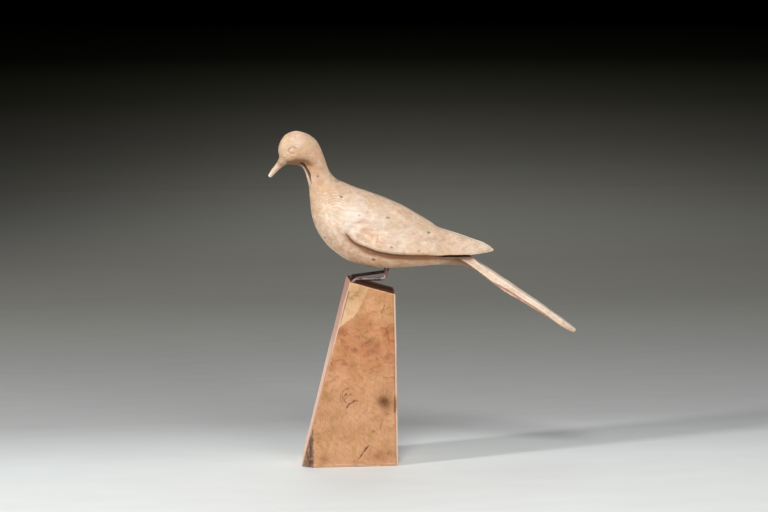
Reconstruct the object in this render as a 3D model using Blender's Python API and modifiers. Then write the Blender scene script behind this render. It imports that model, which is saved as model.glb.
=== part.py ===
"""A carved wooden pigeon on two bent iron legs, let into a tapered offcut of timber.

World axes: +Z up, the bird looks along -X, its left side faces -Y. The origin is the
middle of the block's underside. Shapes are worked out in millimetres and built in metres.
"""
import math

import bmesh
import bpy
import numpy as np
from mathutils import Vector

MM = 0.001

# Driving sizes of the timber block, in millimetres, with its slopes in degrees. The left
# face is sawn from LEFT at the floor to the peak, and its far edge stands in by LEFT_TWIST
BLOCK_DEPTH = 61.0
BLOCK_LEFT = -56.8
BLOCK_RIGHT = 56.0
BLOCK_PEAK_X = 0.4
BLOCK_PEAK_Z = 217.4
LEFT_TWIST = 3.6
TOP_DROP = 15.7
RIGHT_LEAN = 1.04
RIGHT_TURN = 3.9
WANE_WIDTH = 12.8
WANE_HEIGHT = 45.4
WANE_SLANT = 1.6
WORN_LEG = 3.2
SAWN_EDGE = 0.8
STOCK_WIDTH = 200.0
STOCK_SPARE = 40.0

# Driving sizes of the iron legs, in millimetres: each drops from the belly, turns forward
# over the block's top, and turns down into its hole
ROD_DIAMETER = 3.7
ROD_GAP = 0.3
LEG_TOP_Z = 243.0
LEG_FOOT_Z = 203.0
LEG_FOOT_X = 4.7
KNEE_RADIUS = 5.5
ANKLE_RADIUS = 3.6
LEGS = {
    "left_leg": {"y": -15.0, "knee": (42.6, 218.9), "ankle_z": 218.3},
    "right_leg": {"y": 16.0, "knee": (48.3, 223.3), "ankle_z": 218.2},
}

# Driving sizes of the carving, in millimetres. A fullness of 2 makes a rib round, and more
# makes it squarer
FULLNESS = 2.1
WING_FULLNESS = 1.85
WING_RELIEF = 2.4
WING_CUT = 2.6
TIP_THICKNESS = 0.4
SLOT_FALL = 0.6
EYE_CENTRE = (-63.4, 17.25, 369.2)
EYE_RADIUS = 4.2
EYE_GROOVE = 0.8

# The wing's front edge starts at one rib and is full by the next. It is foremost at
# FRONT_DOWN of the way down the rib, and lies SWEEP ribs further back at FRONT_SPREAD from
# there. Its relief grows from the first to the second part of RELIEF_DOWN, and the flank
# under it is cut back from ribs a little behind
WING_RIBS = (20.35, 21.7)
FLANK_RIBS = (20.85, 22.0)
FRONT_DOWN = 0.58
FRONT_SPREAD = 0.30
FRONT_SWEEP = 0.9
RELIEF_DOWN = (0.22, 0.62)

# Between the first two ribs the body's rib turns into the rear one, and between the next
# two the plank's edges turn from soft to crisp, up to MOST_SHARP
REAR_RIBS = (25.2, 27.0)
CRISP_RIBS = (27.0, 30.0)
MOST_SHARP = 0.85
SHOULDER_SLOPE = 0.16
KEEL_STEP = 0.03
VALLEY_CURVE = 1.4

# The back's flat crest, as an angle from the top; and where slot, hollow, side and under
# side end, as parts of the angle left below the wing's rim
CREST_ANGLE = 0.05 * math.pi
BELOW_RIM = (0.04, 0.28, 0.46, 0.52)

# The carver's side pattern. Each rib runs from a point on the upper outline to a point on
# the lower one, and holds: upper x, z; lower x, z; half width; where the rib is widest and
# where the wing's lower rim crosses it, both as parts of the way down the rib.
RIBS = np.array((
    (-91.9, 339.2, -88.9, 336.6, 1.8, 0.50, 0.70),
    (-88.4, 345.2, -84.2, 341.0, 2.7, 0.50, 0.70),
    (-84.0, 350.9, -79.3, 345.7, 3.3, 0.50, 0.70),
    (-80.6, 356.2, -75.0, 349.2, 4.6, 0.50, 0.70),
    (-79.2, 361.0, -71.6, 351.2, 8.2, 0.50, 0.70),
    (-80.2, 367.3, -68.2, 351.5, 12.2, 0.50, 0.70),
    (-78.2, 376.6, -64.5, 351.0, 15.4, 0.50, 0.70),
    (-72.2, 385.2, -61.5, 350.8, 17.2, 0.50, 0.70),
    (-61.0, 389.9, -58.4, 350.6, 17.8, 0.50, 0.70),
    (-49.3, 387.9, -55.4, 349.7, 17.4, 0.48, 0.70),
    (-40.4, 382.5, -52.9, 348.3, 16.4, 0.44, 0.70),
    (-32.9, 373.2, -51.2, 346.2, 14.9, 0.42, 0.70),
    (-28.4, 363.0, -49.9, 343.3, 13.7, 0.44, 0.70),
    (-25.3, 353.6, -48.5, 339.7, 13.4, 0.47, 0.70),
    (-21.2, 343.4, -46.9, 334.4, 14.6, 0.50, 0.70),
    (-14.5, 335.6, -45.4, 326.2, 17.6, 0.50, 0.70),
    (-3.5, 329.4, -44.4, 313.5, 22.8, 0.50, 0.70),
    (9.0, 324.6, -42.8, 298.7, 28.6, 0.50, 0.70),
    (20.0, 320.6, -39.9, 285.0, 33.0, 0.50, 0.70),
    (30.0, 316.9, -34.1, 271.2, 36.3, 0.50, 0.70),
    (40.0, 313.2, -23.3, 256.6, 38.4, 0.50, 0.70),
    (50.0, 309.1, -5.4, 242.5, 39.4, 0.51, 0.72),
    (60.0, 304.4, 15.2, 233.8, 39.6, 0.54, 0.71),
    (71.0, 298.5, 36.0, 229.9, 39.0, 0.57, 0.70),
    (84.1, 291.1, 60.0, 230.2, 37.4, 0.61, 0.695),
    (96.0, 283.4, 84.0, 232.0, 34.6, 0.64, 0.690),
    (106.0, 276.9, 102.0, 232.9, 31.4, 0.63, 0.665),
    (116.0, 272.8, 116.0, 232.5, 28.0, 0.60, 0.630),
    (126.0, 269.4, 126.0, 231.6, 24.8, 0.56, 0.595),
    (134.0, 266.6, 134.0, 230.2, 22.4, 0.515, 0.548),
    (141.0, 264.1, 141.0, 227.8, 20.3, 0.46, 0.492),
))

# Behind the legs the wings part from the rump. Each row holds: rib number; how far each
# wing's crest stands from the middle, and above the valley; how far from the middle the
# slot under the wing ends; the rump's half width; its upper and lower edges, as parts of
# the way down the rib; and the half width under the lower edge.
RUMP = np.array((
    (25.0, 5.0, 0.5, 31.4, 31.0, 0.730, 0.800, 29.5),
    (26.0, 6.2, 1.0, 26.0, 27.0, 0.712, 0.760, 25.8),
    (27.0, 7.2, 3.4, 19.5, 23.2, 0.684, 0.735, 21.6),
    (28.0, 8.2, 7.0, 12.3, 20.0, 0.652, 0.710, 17.0),
    (29.0, 8.8, 9.8, 5.8, 17.8, 0.606, 0.785, 13.8),
    (30.0, 9.2, 12.3, 0.0, 16.4, 0.556, 0.845, 12.4),
))

# The tail, behind the place where the slot meets in the middle. Each row holds: upper x, z;
# lower x, z; half width; the plank's upper and lower edges, as parts of the way down; and
# the half width under the lower edge.
TAIL = np.array((
    (141.0, 245.6, 141.0, 227.8, 16.4, 0.050, 0.685, 12.4),
    (151.0, 237.9, 148.0, 224.4, 16.0, 0.120, 0.76, 12.0),
    (165.0, 228.2, 159.0, 217.6, 15.8, 0.150, 0.84, 12.6),
    (180.0, 218.2, 172.5, 207.0, 15.8, 0.160, 0.86, 15.0),
    (217.1, 192.7, 209.5, 183.9, 16.2, 0.160, 0.86, 15.6),
    (241.7, 175.5, 235.6, 168.0, 14.2, 0.160, 0.86, 13.6),
    (264.0, 158.8, 259.6, 152.4, 9.4, 0.180, 0.84, 8.8),
    (269.8, 154.0, 266.6, 149.2, 5.8, 0.200, 0.80, 5.0),
))
TAIL_END = (271.4, 150.6)

# One wing's free end, on upright ribs. Each row holds: x; crest y, z; rim y, z; and how far
# from the middle its inner edge is.
WING_TIP = np.array((
    (141.0, 9.2, 264.1, 20.3, 246.3, 0.0),
    (148.0, 9.5, 261.5, 18.2, 246.6, 0.0),
    (155.0, 9.4, 258.9, 16.0, 247.2, 3.6),
    (162.0, 9.2, 255.9, 13.4, 248.0, 5.8),
    (167.5, 8.9, 252.4, 10.9, 249.0, 7.4),
))
WING_END = (170.6, 8.8, 249.6)
BILL_END = (-91.5, 0.0, 337.0)

# How many ribs the skin has between those of the pattern, along the tail and the wing's end
RIB_STEPS = [2] * 5 + [2] * 9 + [2] * 5 + [3] * 6 + [4] * 5
TAIL_RIBS = 18
BEND_STEPS = 5
WING_PLACES = (144.5, 148.0, 151.5, 155.0, 158.5, 162.0, 165.0, 167.5, 169.4)

# How many faces each stretch of a half rib takes, from the middle of the back to the keel
CREST_FACES, WING_FACES, SLOT_FACES = 2, 8, 2
HOLLOW_FACES, SIDE_FACES, UNDER_FACES, KEEL_FACES = 2, 2, 1, 5
UPPER_SPANS = (CREST_FACES, WING_FACES, SLOT_FACES)
LOWER_SPANS = (HOLLOW_FACES, SIDE_FACES, UNDER_FACES, KEEL_FACES)
RIM = CREST_FACES + WING_FACES
NOTCH = RIM + SLOT_FACES


def clear_scene():
    """Start from an empty scene."""
    for item in list(bpy.data.objects):
        bpy.data.objects.remove(item, do_unlink=True)


def make_material(name, colour, roughness, metallic=0.0):
    """A plain Principled material."""
    material = bpy.data.materials.new(name)
    material.use_nodes = True
    shader = material.node_tree.nodes["Principled BSDF"]
    shader.inputs["Base Color"].default_value = (*colour, 1.0)
    shader.inputs["Roughness"].default_value = roughness
    shader.inputs["Metallic"].default_value = metallic
    return material


def new_object(name, data, collection, material=None):
    """Put a mesh or a curve in the scene as a named object."""
    item = bpy.data.objects.new(name, data)
    collection.objects.link(item)
    if material is not None:
        data.materials.append(material)
    return item


def move_to(item, collection):
    """Move an object into a collection."""
    for owner in list(item.users_collection):
        owner.objects.unlink(item)
    collection.objects.link(item)
    return item


def as_cutter(item):
    """Mark an object as a tool that shapes others and is no part itself."""
    item.hide_render = True
    item.display_type = "WIRE"
    return item


def cut(item, cutter):
    """Take the cutter's shape out of the object."""
    modifier = item.modifiers.new("cut_" + cutter.name, "BOOLEAN")
    modifier.operation = "DIFFERENCE"
    modifier.solver = "EXACT"
    modifier.object = cutter


def curve_through(stations, values, at):
    """Smooth curve through hand-set values.

    Between two stations it is a cubic whose slope at each end is the mean of the slopes on
    both sides, weighted by the other side's length.
    """
    length = np.diff(stations)[:, None]
    slope = np.diff(values, axis=0) / length
    inner = (slope[:-1] * length[1:] + slope[1:] * length[:-1]) / (length[:-1] + length[1:])
    tangent = np.vstack((slope[:1], inner, slope[-1:]))
    place = np.clip(np.searchsorted(stations, at, side="right") - 1, 0, len(stations) - 2)
    run = length[place]
    t = (at - stations[place])[:, None] / run
    return (
        values[place] * (2 * t**3 - 3 * t**2 + 1)
        + tangent[place] * run * (t**3 - 2 * t**2 + t)
        + values[place + 1] * (3 * t**2 - 2 * t**3)
        + tangent[place + 1] * run * (t**3 - t**2)
    )


def ease(low, high, value):
    """0 below low, 1 above high, and an S-shaped curve between."""
    t = np.clip((value - low) / (high - low), 0.0, 1.0)
    return t * t * (3 - 2 * t)


def fractions(spans, keys):
    """Places from the first key to the last, with the given number of faces in each span."""
    places = [np.linspace(low, high, faces, endpoint=False)
              for faces, low, high in zip(spans, keys[:-1], keys[1:])]
    return np.append(np.concatenate(places), keys[-1])


def egg_rib(half, widest, angle):
    """How far down and how far out an egg-shaped rib is, from its top (0) to its keel (pi)."""
    power = 2.0 / FULLNESS
    upper = widest * (1 - np.abs(np.cos(angle)) ** power)
    lower = widest + (1 - widest) * np.abs(np.cos(angle)) ** power
    down = np.where(angle < math.pi / 2, upper, lower)
    out = half * np.abs(np.sin(angle)) ** power
    return down, out


def rim_angle(widest, rim):
    """The angle at which an egg-shaped rib has come down as far as the wing's rim."""
    share = (rim - widest) / (1 - widest)
    return math.pi / 2 + math.asin(share ** (FULLNESS / 2.0))


def through_keys(keys, spans, sharpness):
    """A line through the keys of half a rib, smooth (0) or with plain corners (1)."""
    beyond = np.vstack((keys, keys[-2] * (-1, 1)))
    stations = np.append(0.0, np.cumsum(np.hypot(*np.diff(beyond, axis=0).T)))
    at = fractions(spans, stations[:-1])
    smooth = curve_through(stations, beyond, at)
    straight = np.column_stack([np.interp(at, stations[:-1], keys[:, i]) for i in (0, 1)])
    return smooth + (straight - smooth) * sharpness


def under_slot(depth, notch, half, upper, lower, under, sharpness):
    """The rump or tail below the slot: how far out, and the part of the way down its depth.

    The line runs from the slot's end over the plank's upper and lower edges, then under
    them to the keel in the middle.
    """
    keys = np.array((notch, (half, upper), (half, lower), (under, lower + KEEL_STEP), (0.0, 1.0)))
    keys[1, 0] *= 1 - SHOULDER_SLOPE * sharpness
    line = through_keys(keys * (1.0, depth), LOWER_SPANS, sharpness * MOST_SHARP)
    return line[:, 0], line[:, 1] / depth


def body_ribs(steps):
    """Half ribs from the bill to the place where the slot meets in the middle."""
    number = np.arange(len(RIBS), dtype=float)
    chord = np.hypot(*np.diff(RIBS[:, 0:2], axis=0).T) + np.hypot(*np.diff(RIBS[:, 2:4], axis=0).T)
    place = np.append(0.0, np.cumsum(chord))
    at_number = np.unique(np.concatenate(
        [np.linspace(i, i + 1, count + 1) for i, count in enumerate(steps)]))
    at = np.interp(at_number, number, place)
    data = curve_through(place, RIBS, at)
    rump = curve_through(RUMP[:, 0], RUMP[:, 1:], np.maximum(at_number, RUMP[0, 0]))
    ribs = []
    for index, row, rear in zip(at_number, data, rump):
        top, keel = row[0:2], row[2:4]
        half, widest, rim = row[4:7]
        length = math.hypot(*(keel - top))
        last = rim_angle(widest, rim)
        lower = [last + (math.pi - last) * share for share in BELOW_RIM]
        angles = fractions(UPPER_SPANS + LOWER_SPANS, (0.0, CREST_ANGLE, last, *lower, math.pi))
        down, out = egg_rib(half, widest, angles)

        # The wing stands out above its rim, and the flank is cut back below it
        bulge = ((down - FRONT_DOWN) / FRONT_SPREAD) ** 2 * FRONT_SWEEP
        wing = ease(*WING_RIBS, index - bulge) * ease(*RELIEF_DOWN, down)
        out[:RIM + 1] += (WING_RELIEF * wing)[:RIM + 1]
        below = np.arange(len(out)) - NOTCH
        fade = 1 - ease(0, HOLLOW_FACES + SIDE_FACES, below)
        out[NOTCH:] -= (WING_CUT * ease(*FLANK_RIBS, index) * fade)[NOTCH:]
        slot = slice(RIM, NOTCH + 1)
        down[slot] = np.linspace(down[slot][0], down[slot][-1], SLOT_FACES + 1)
        out[slot] = np.linspace(out[slot][0], out[slot][-1], SLOT_FACES + 1)

        # Further back the wings' crests rise, and the slot cuts in under them
        share = ease(*REAR_RIBS, index)
        if share > 0:
            rear_down, rear_out = rear_rib(length, half, rim, rear, ease(*CRISP_RIBS, index))
            down = down + (rear_down - down) * share
            out = out + (rear_out - out) * share
        out[0] = out[-1] = 0.0
        if index == number[-1]:
            out[NOTCH] = 0.0
        point = top + down[:, None] * (keel - top)
        ribs.append(np.column_stack((point[:, 0], out, point[:, 1])))
    return ribs


def wing_curve(faces):
    """A quarter of a wing's rounded section: how far out, then how much of its height is left."""
    turn = np.linspace(0.0, math.pi / 2, faces + 1)[1:]
    power = 2.0 / WING_FULLNESS
    return np.sin(turn) ** power, np.cos(turn) ** power


def rear_rib(length, half, rim, rear, crispness):
    """A rib with two wing crests over a valley, the slot, and the rump below it."""
    crest, drop, notch, rump_half, upper, lower, under = rear
    step = np.arange(CREST_FACES + 1) / CREST_FACES
    down_top = drop / length * (1 - step ** VALLEY_CURVE)
    out_top = crest * step
    across, height = wing_curve(WING_FACES)
    down_wing = rim * (1 - height)
    out_wing = crest + (half - crest) * across
    step = (np.arange(SLOT_FACES) + 1) / SLOT_FACES
    down_slot = rim + (SLOT_FALL / length) * step
    out_slot = half + (notch - half) * step
    out_low, down_low = under_slot(length, (notch, down_slot[-1]), rump_half, upper, lower,
                                   under, crispness)
    down = np.concatenate((down_top, down_wing, down_slot, down_low[1:]))
    out = np.concatenate((out_top, out_wing, out_slot, out_low[1:]))
    return down, out


def tail_ribs(count):
    """Half ribs of the tail, from the slot's end to the blunt tip."""
    place = np.append(0.0, np.cumsum(np.hypot(*np.diff(TAIL[:, 0:2], axis=0).T)))
    at = np.linspace(0.0, place[-1], count + 1)[1:]
    ribs = []
    for row in curve_through(place, TAIL, at):
        top, keel = row[0:2], row[2:4]
        half, upper, lower, under = row[4:8]
        depth = math.hypot(*(keel - top))
        out, down = under_slot(depth, (0.0, 0.0), half, upper, lower, under, 1.0)
        point = top + down[:, None] * (keel - top)
        ribs.append(np.column_stack((point[:, 0], out, point[:, 1])))
    return ribs


def wing_ribs(places):
    """Ribs of one wing's free end.

    The valley between the wings sinks to their underside, and from there they are parted:
    each one's inner edge then moves out to its tip.
    """
    fork, parting = WING_TIP[0, 0], WING_TIP[1, 0]
    ribs = []
    for x, row in zip(places, curve_through(WING_TIP[:, 0], WING_TIP[:, 1:], places)):
        crest_y, crest_z, rim_y, rim_z, inner = row
        inner = max(inner, 0.0) if x > parting else 0.0
        floor = rim_z + TIP_THICKNESS
        share = np.clip((x - fork) / (parting - fork), 0.0, 1.0)
        start = crest_z - RUMP[-1, 2]
        valley = start + (floor - start) * share
        step = np.arange(CREST_FACES + 1) / CREST_FACES
        top = np.column_stack((inner + (crest_y - inner) * step,
                               valley + (crest_z - valley) * step ** VALLEY_CURVE))
        across, height = wing_curve(WING_FACES)
        side = np.column_stack((crest_y + (rim_y - crest_y) * across,
                                rim_z + (crest_z - rim_z) * height))
        step = ((np.arange(SLOT_FACES) + 1) / SLOT_FACES)[:, None]
        below = side[-1] + (np.array((inner, floor)) - side[-1]) * step
        line = np.vstack((top, side, below))
        ribs.append(np.column_stack((np.full(len(line), x), line)))
    return ribs


def loft_half_bird():
    """Vertices and faces of the bird's right half, open at the middle plane."""
    points, faces = [], []

    def add_rib(rib):
        first = len(points)
        points.extend(rib)
        return list(range(first, first + len(rib)))

    def skin(one, two):
        for a, b, c, d in zip(one[:-1], one[1:], two[1:], two[:-1]):
            corners = list(dict.fromkeys((a, d, c, b)))
            if len(corners) > 2:
                faces.append(corners)

    def close(rib, tip, backwards=False):
        points.append(tip)
        last = len(points) - 1
        for a, b in zip(rib[:-1], rib[1:]):
            faces.append((a, b, last) if backwards else (b, a, last))

    body = [add_rib(rib) for rib in body_ribs(RIB_STEPS)]
    close(body[0], BILL_END, backwards=True)
    for one, two in zip(body[:-1], body[1:]):
        skin(one, two)

    tail = [body[-1][NOTCH:]] + [add_rib(rib) for rib in tail_ribs(TAIL_RIBS)]
    for one, two in zip(tail[:-1], tail[1:]):
        skin(one, two)
    close(tail[-1], (TAIL_END[0], 0.0, TAIL_END[1]))

    wing = [body[-1][:NOTCH + 1]]
    for rib in wing_ribs(WING_PLACES):
        parted = rib[0][0] >= WING_TIP[1, 0]
        if parted:
            row = add_rib(rib[:-1])
            row.append(row[0])
        else:
            row = add_rib(rib)
        wing.append(row)
    for one, two in zip(wing[:-1], wing[1:]):
        skin(one, two)
    close(wing[-1], WING_END)
    return np.array(points) * MM, faces


def build_pigeon(collection, cutters):
    """The bird: one carved solid, with an eye ring cut on each side."""
    points, faces = loft_half_bird()
    mesh = bpy.data.meshes.new("pigeon")
    mesh.from_pydata(points.tolist(), [], faces)
    mesh.shade_smooth()
    material = make_material("bleached_wood", (0.62, 0.50, 0.38), 0.62)
    pigeon = new_object("pigeon", mesh, collection, material)
    mirror = pigeon.modifiers.new("other_side", "MIRROR")
    mirror.use_axis = (False, True, False)
    mirror.merge_threshold = 0.00001
    for side in (-1, 1):
        x, out, z = EYE_CENTRE
        bpy.ops.mesh.primitive_torus_add(
            major_radius=EYE_RADIUS * MM, minor_radius=EYE_GROOVE * MM,
            major_segments=20, minor_segments=6,
            location=(x * MM, side * out * MM, z * MM), rotation=(math.pi / 2, 0, 0))
        ring = move_to(bpy.context.object, cutters)
        ring.name = "eye_ring_right" if side > 0 else "eye_ring_left"
        cut(pigeon, as_cutter(ring))
    return pigeon


def leg_route(size, spare):
    """Points along a leg's middle line, with round bends at knee and ankle.

    The spare length is added at both ends.
    """
    knee_x, knee_z = size["knee"]
    corners = np.array(((knee_x, LEG_TOP_Z + spare), (knee_x, knee_z),
                        (LEG_FOOT_X, size["ankle_z"]), (LEG_FOOT_X, LEG_FOOT_Z - spare)))
    route = [corners[0]]
    bends = zip(corners, corners[1:], corners[2:], (KNEE_RADIUS, ANKLE_RADIUS))
    for before, corner, after, radius in bends:
        way_in = (before - corner) / math.hypot(*(before - corner))
        way_out = (after - corner) / math.hypot(*(after - corner))
        half = math.acos(way_in @ way_out) / 2
        middle = (way_in + way_out) / math.hypot(*(way_in + way_out))
        centre = corner + middle * radius / math.sin(half)
        reach = (math.pi / 2 - half) * np.linspace(-1, 1, BEND_STEPS + 1)
        side = np.array((-middle[1], middle[0]))
        side = side * np.sign(side @ way_out)
        for angle in reach:
            route.append(centre + radius * (side * math.sin(angle) - middle * math.cos(angle)))
    route.append(corners[-1])
    return [(x * MM, size["y"] * MM, z * MM) for x, z in route]


def bent_rod(name, size, diameter, spare, collection, material=None):
    """A bent rod as a curve object with filled caps."""
    route = leg_route(size, spare)
    curve = bpy.data.curves.new(name, "CURVE")
    curve.dimensions = "3D"
    curve.bevel_depth = diameter / 2 * MM
    curve.bevel_resolution = 3
    curve.use_fill_caps = True
    spline = curve.splines.new("POLY")
    spline.points.add(len(route) - 1)
    for point, place in zip(spline.points, route):
        point.co = (*place, 1.0)
    return new_object(name, curve, collection, material)


def rod_cutter(name, size, cutters):
    """The room a leg takes in belly and block, as a mesh."""
    curve = bent_rod(name, size, ROD_DIAMETER + 2 * ROD_GAP, ROD_GAP, cutters)
    graph = bpy.context.evaluated_depsgraph_get()
    mesh = bpy.data.meshes.new_from_object(curve.evaluated_get(graph))
    welded = bmesh.new()
    welded.from_mesh(mesh)
    bmesh.ops.remove_doubles(welded, verts=welded.verts, dist=0.00001)
    bmesh.ops.recalc_face_normals(welded, faces=welded.faces)
    welded.to_mesh(mesh)
    welded.free()
    bpy.data.objects.remove(curve, do_unlink=True)
    return as_cutter(new_object(name, mesh, cutters))


def saw(timber, point, outward):
    """Saw the timber along a plane, and close the cut."""
    geometry = timber.verts[:] + timber.edges[:] + timber.faces[:]
    bmesh.ops.bisect_plane(timber, geom=geometry, plane_co=Vector(point) * MM,
                           plane_no=Vector(outward).normalized(), clear_outer=True)
    rim = [edge for edge in timber.edges if edge.is_boundary]
    bmesh.ops.contextual_create(timber, geom=rim)


def build_block(collection):
    """The tapered offcut: a squared timber, sawn on three sides, with a wane and a worn edge.

    The wane takes the front left corner, and runs out WANE_HEIGHT up it.
    """
    front = -BLOCK_DEPTH / 2
    height = BLOCK_PEAK_Z + STOCK_SPARE
    timber = bmesh.new()
    bmesh.ops.create_cube(timber, size=1.0)
    size = Vector((STOCK_WIDTH, BLOCK_DEPTH, height)) * MM
    bmesh.ops.scale(timber, vec=size, verts=timber.verts)
    bmesh.ops.translate(timber, vec=(0, 0, size.z / 2), verts=timber.verts)
    taper = (BLOCK_PEAK_X - BLOCK_LEFT) / BLOCK_PEAK_Z
    saw(timber, (BLOCK_LEFT, 0, 0), (-1, 0, taper))
    drop = math.radians(TOP_DROP)
    saw(timber, (BLOCK_PEAK_X, 0, BLOCK_PEAK_Z), (math.sin(drop), 0, math.cos(drop)))
    right = Vector((1, -math.tan(math.radians(RIGHT_TURN)), math.tan(math.radians(RIGHT_LEAN))))
    saw(timber, (BLOCK_RIGHT, front, 0), right)
    saw(timber, (BLOCK_LEFT + WANE_WIDTH, front, 0),
        (-1, -WANE_SLANT, (taper * WANE_HEIGHT - WANE_WIDTH) / WANE_HEIGHT))
    saw(timber, (BLOCK_RIGHT - WORN_LEG, front, 0), (1, -1, right.z))
    for vert in timber.verts:
        if vert.co.x < 0 < vert.co.y and vert.co.z < MM:
            vert.co.x += LEFT_TWIST * MM
    bmesh.ops.recalc_face_normals(timber, faces=timber.faces)
    mesh = bpy.data.meshes.new("perch_block")
    timber.to_mesh(mesh)
    timber.free()
    material = make_material("old_timber", (0.46, 0.27, 0.15), 0.7)
    block = new_object("perch_block", mesh, collection, material)
    edges = block.modifiers.new("sawn_edges", "BEVEL")
    edges.width = SAWN_EDGE * MM
    edges.segments = 2
    edges.limit_method = "ANGLE"
    edges.angle_limit = math.radians(60)
    return block


clear_scene()
parts = bpy.data.collections.new("pigeon_decoy")
tools = bpy.data.collections.new("cutters")
bpy.context.scene.collection.children.link(parts)
bpy.context.scene.collection.children.link(tools)
iron = make_material("old_iron", (0.09, 0.065, 0.055), 0.55, 0.7)
pigeon = build_pigeon(parts, tools)
block = build_block(parts)
for leg, size in LEGS.items():
    bent_rod(leg, size, ROD_DIAMETER, 0.0, parts, iron)
    room = rod_cutter(leg + "_room", size, tools)
    cut(pigeon, room)
    cut(block, room)
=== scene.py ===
"""A carved wooden pigeon on two bent iron legs, let into a sawn offcut of old timber."""
import math

import bmesh
import bpy
import numpy as np
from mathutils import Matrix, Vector


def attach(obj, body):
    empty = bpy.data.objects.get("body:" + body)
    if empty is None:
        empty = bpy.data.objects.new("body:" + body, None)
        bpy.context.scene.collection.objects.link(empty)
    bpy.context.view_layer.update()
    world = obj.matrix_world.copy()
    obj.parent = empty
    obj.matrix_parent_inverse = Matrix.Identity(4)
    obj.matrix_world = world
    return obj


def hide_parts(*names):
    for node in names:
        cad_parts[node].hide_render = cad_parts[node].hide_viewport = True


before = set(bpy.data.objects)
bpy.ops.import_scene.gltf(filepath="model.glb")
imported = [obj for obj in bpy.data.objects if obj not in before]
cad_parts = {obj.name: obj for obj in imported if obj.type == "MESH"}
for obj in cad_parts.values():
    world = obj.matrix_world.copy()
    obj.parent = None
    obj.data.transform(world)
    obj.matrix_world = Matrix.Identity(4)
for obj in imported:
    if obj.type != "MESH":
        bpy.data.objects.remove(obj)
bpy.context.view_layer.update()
MM = 0.001


# The perch block: an offcut of old timber, sawn to a taper on three sides and left rough, with
# a wane at its front left foot and a knot and a burl in its face. The grain runs up it, and the
# legs stand in two holes in its slanted top.

BLOCK_DEPTH = 61.0
BLOCK_LEFT = -56.8
BLOCK_RIGHT = 56.0
BLOCK_PEAK = (0.4, 217.4)
LEFT_TWIST = 3.6
TOP_SLOPE = math.tan(math.radians(15.7))
LEFT_TAPER = (BLOCK_PEAK[0] - BLOCK_LEFT) / BLOCK_PEAK[1]
RIGHT_LEAN = math.tan(math.radians(1.04))
RIGHT_TURN = math.tan(math.radians(3.9))
WANE_WIDTH, WANE_HEIGHT, WANE_SLANT = 12.8, 45.4, 1.6
WORN_LEG = 3.2
LEG_HOLES = ((4.7, -15.0), (4.7, 16.0))

# The sawn faces: a point on each, and the way it faces
BLOCK_FACES = (
    ((0, -BLOCK_DEPTH / 2, 0), (0, -1, 0)),
    ((0, BLOCK_DEPTH / 2, 0), (0, 1, 0)),
    ((BLOCK_LEFT, 0, 0), (-1, 0, LEFT_TAPER)),
    ((BLOCK_RIGHT, -BLOCK_DEPTH / 2, 0), (1, -RIGHT_TURN, RIGHT_LEAN)),
    ((BLOCK_LEFT + WANE_WIDTH, -BLOCK_DEPTH / 2, 0),
     (-1, -WANE_SLANT, (LEFT_TAPER * WANE_HEIGHT - WANE_WIDTH) / WANE_HEIGHT)),
    ((BLOCK_RIGHT - WORN_LEG, -BLOCK_DEPTH / 2, 0), (1, -1, RIGHT_LEAN)),
    ((BLOCK_PEAK[0], 0, BLOCK_PEAK[1]), (TOP_SLOPE, 0, 1)),
    ((0, 0, 0), (0, 0, -1)),
)
SIDE_FACES = 6


def dense_ends(count, share=0.75):
    """Places from 0 to 1 that crowd towards both ends: a line mixed with half a cosine."""
    t = np.linspace(0.0, 1.0, count + 1)
    return t + share * ((1 - np.cos(math.pi * t)) / 2 - t)


def block_points():
    """The block's skin in millimetres, as a grid of rows round it.

    The rows start in the middle of the underside, spread to its edge, climb the sides, and
    close in again on the slanted top. Each point lies on a ray from the upright middle line
    through a place on a square's edge, and stands where the ray meets its nearest sawn face.
    """
    across, deep = dense_ends(158), dense_ends(38)
    one = np.ones_like
    square = np.concatenate((
        np.column_stack((2 * across - 1, -one(across)))[:-1],
        np.column_stack((one(deep), 2 * deep - 1))[:-1],
        np.column_stack((1 - 2 * across[::2], one(across[::2])))[:-1],
        np.column_stack((-one(deep), 1 - 2 * deep)),
    ))
    rise, close = dense_ends(250, 0.5), dense_ends(30, 0.5)
    spread = dense_ends(8, 0.5)
    height = np.concatenate((0 * spread[:-1], rise, 1 + 0 * close[1:]))
    inset = np.concatenate((spread[:-1], 1 + 0 * rise, 1 - close[1:]))
    x = np.zeros((len(height), len(square)))
    points, outward = (np.array([face[i] for face in BLOCK_FACES[:SIDE_FACES]], float)
                       for i in (0, 1))
    reach = (points * outward).sum(axis=1)
    for _ in range(7):
        z = height[:, None] * (BLOCK_PEAK[1] - (x - BLOCK_PEAK[0]) * TOP_SLOPE)
        middle = (BLOCK_LEFT + LEFT_TAPER * z + BLOCK_RIGHT - RIGHT_LEAN * z) / 2
        half = (BLOCK_RIGHT - RIGHT_LEAN * z) - middle
        way = np.stack((square[:, 0] * half, square[:, 1] * BLOCK_DEPTH / 2 + 0 * z), axis=-1)
        room = reach - middle[..., None] * outward[:, 0] - z[..., None] * outward[:, 2]
        towards = way @ outward[:, :2].T
        ray = np.where(towards > 1e-6, room / np.maximum(towards, 1e-6), 1e6).min(axis=-1)
        x = middle + inset[:, None] * ray * way[..., 0]
    y = inset[:, None] * ray * way[..., 1]
    far = 0.5 + y / BLOCK_DEPTH
    left = np.clip((middle - x) / half, 0, 1)
    x = x + LEFT_TWIST * far * left * (1 - z / BLOCK_PEAK[1])
    return np.stack((x, y, z), axis=-1)


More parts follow.
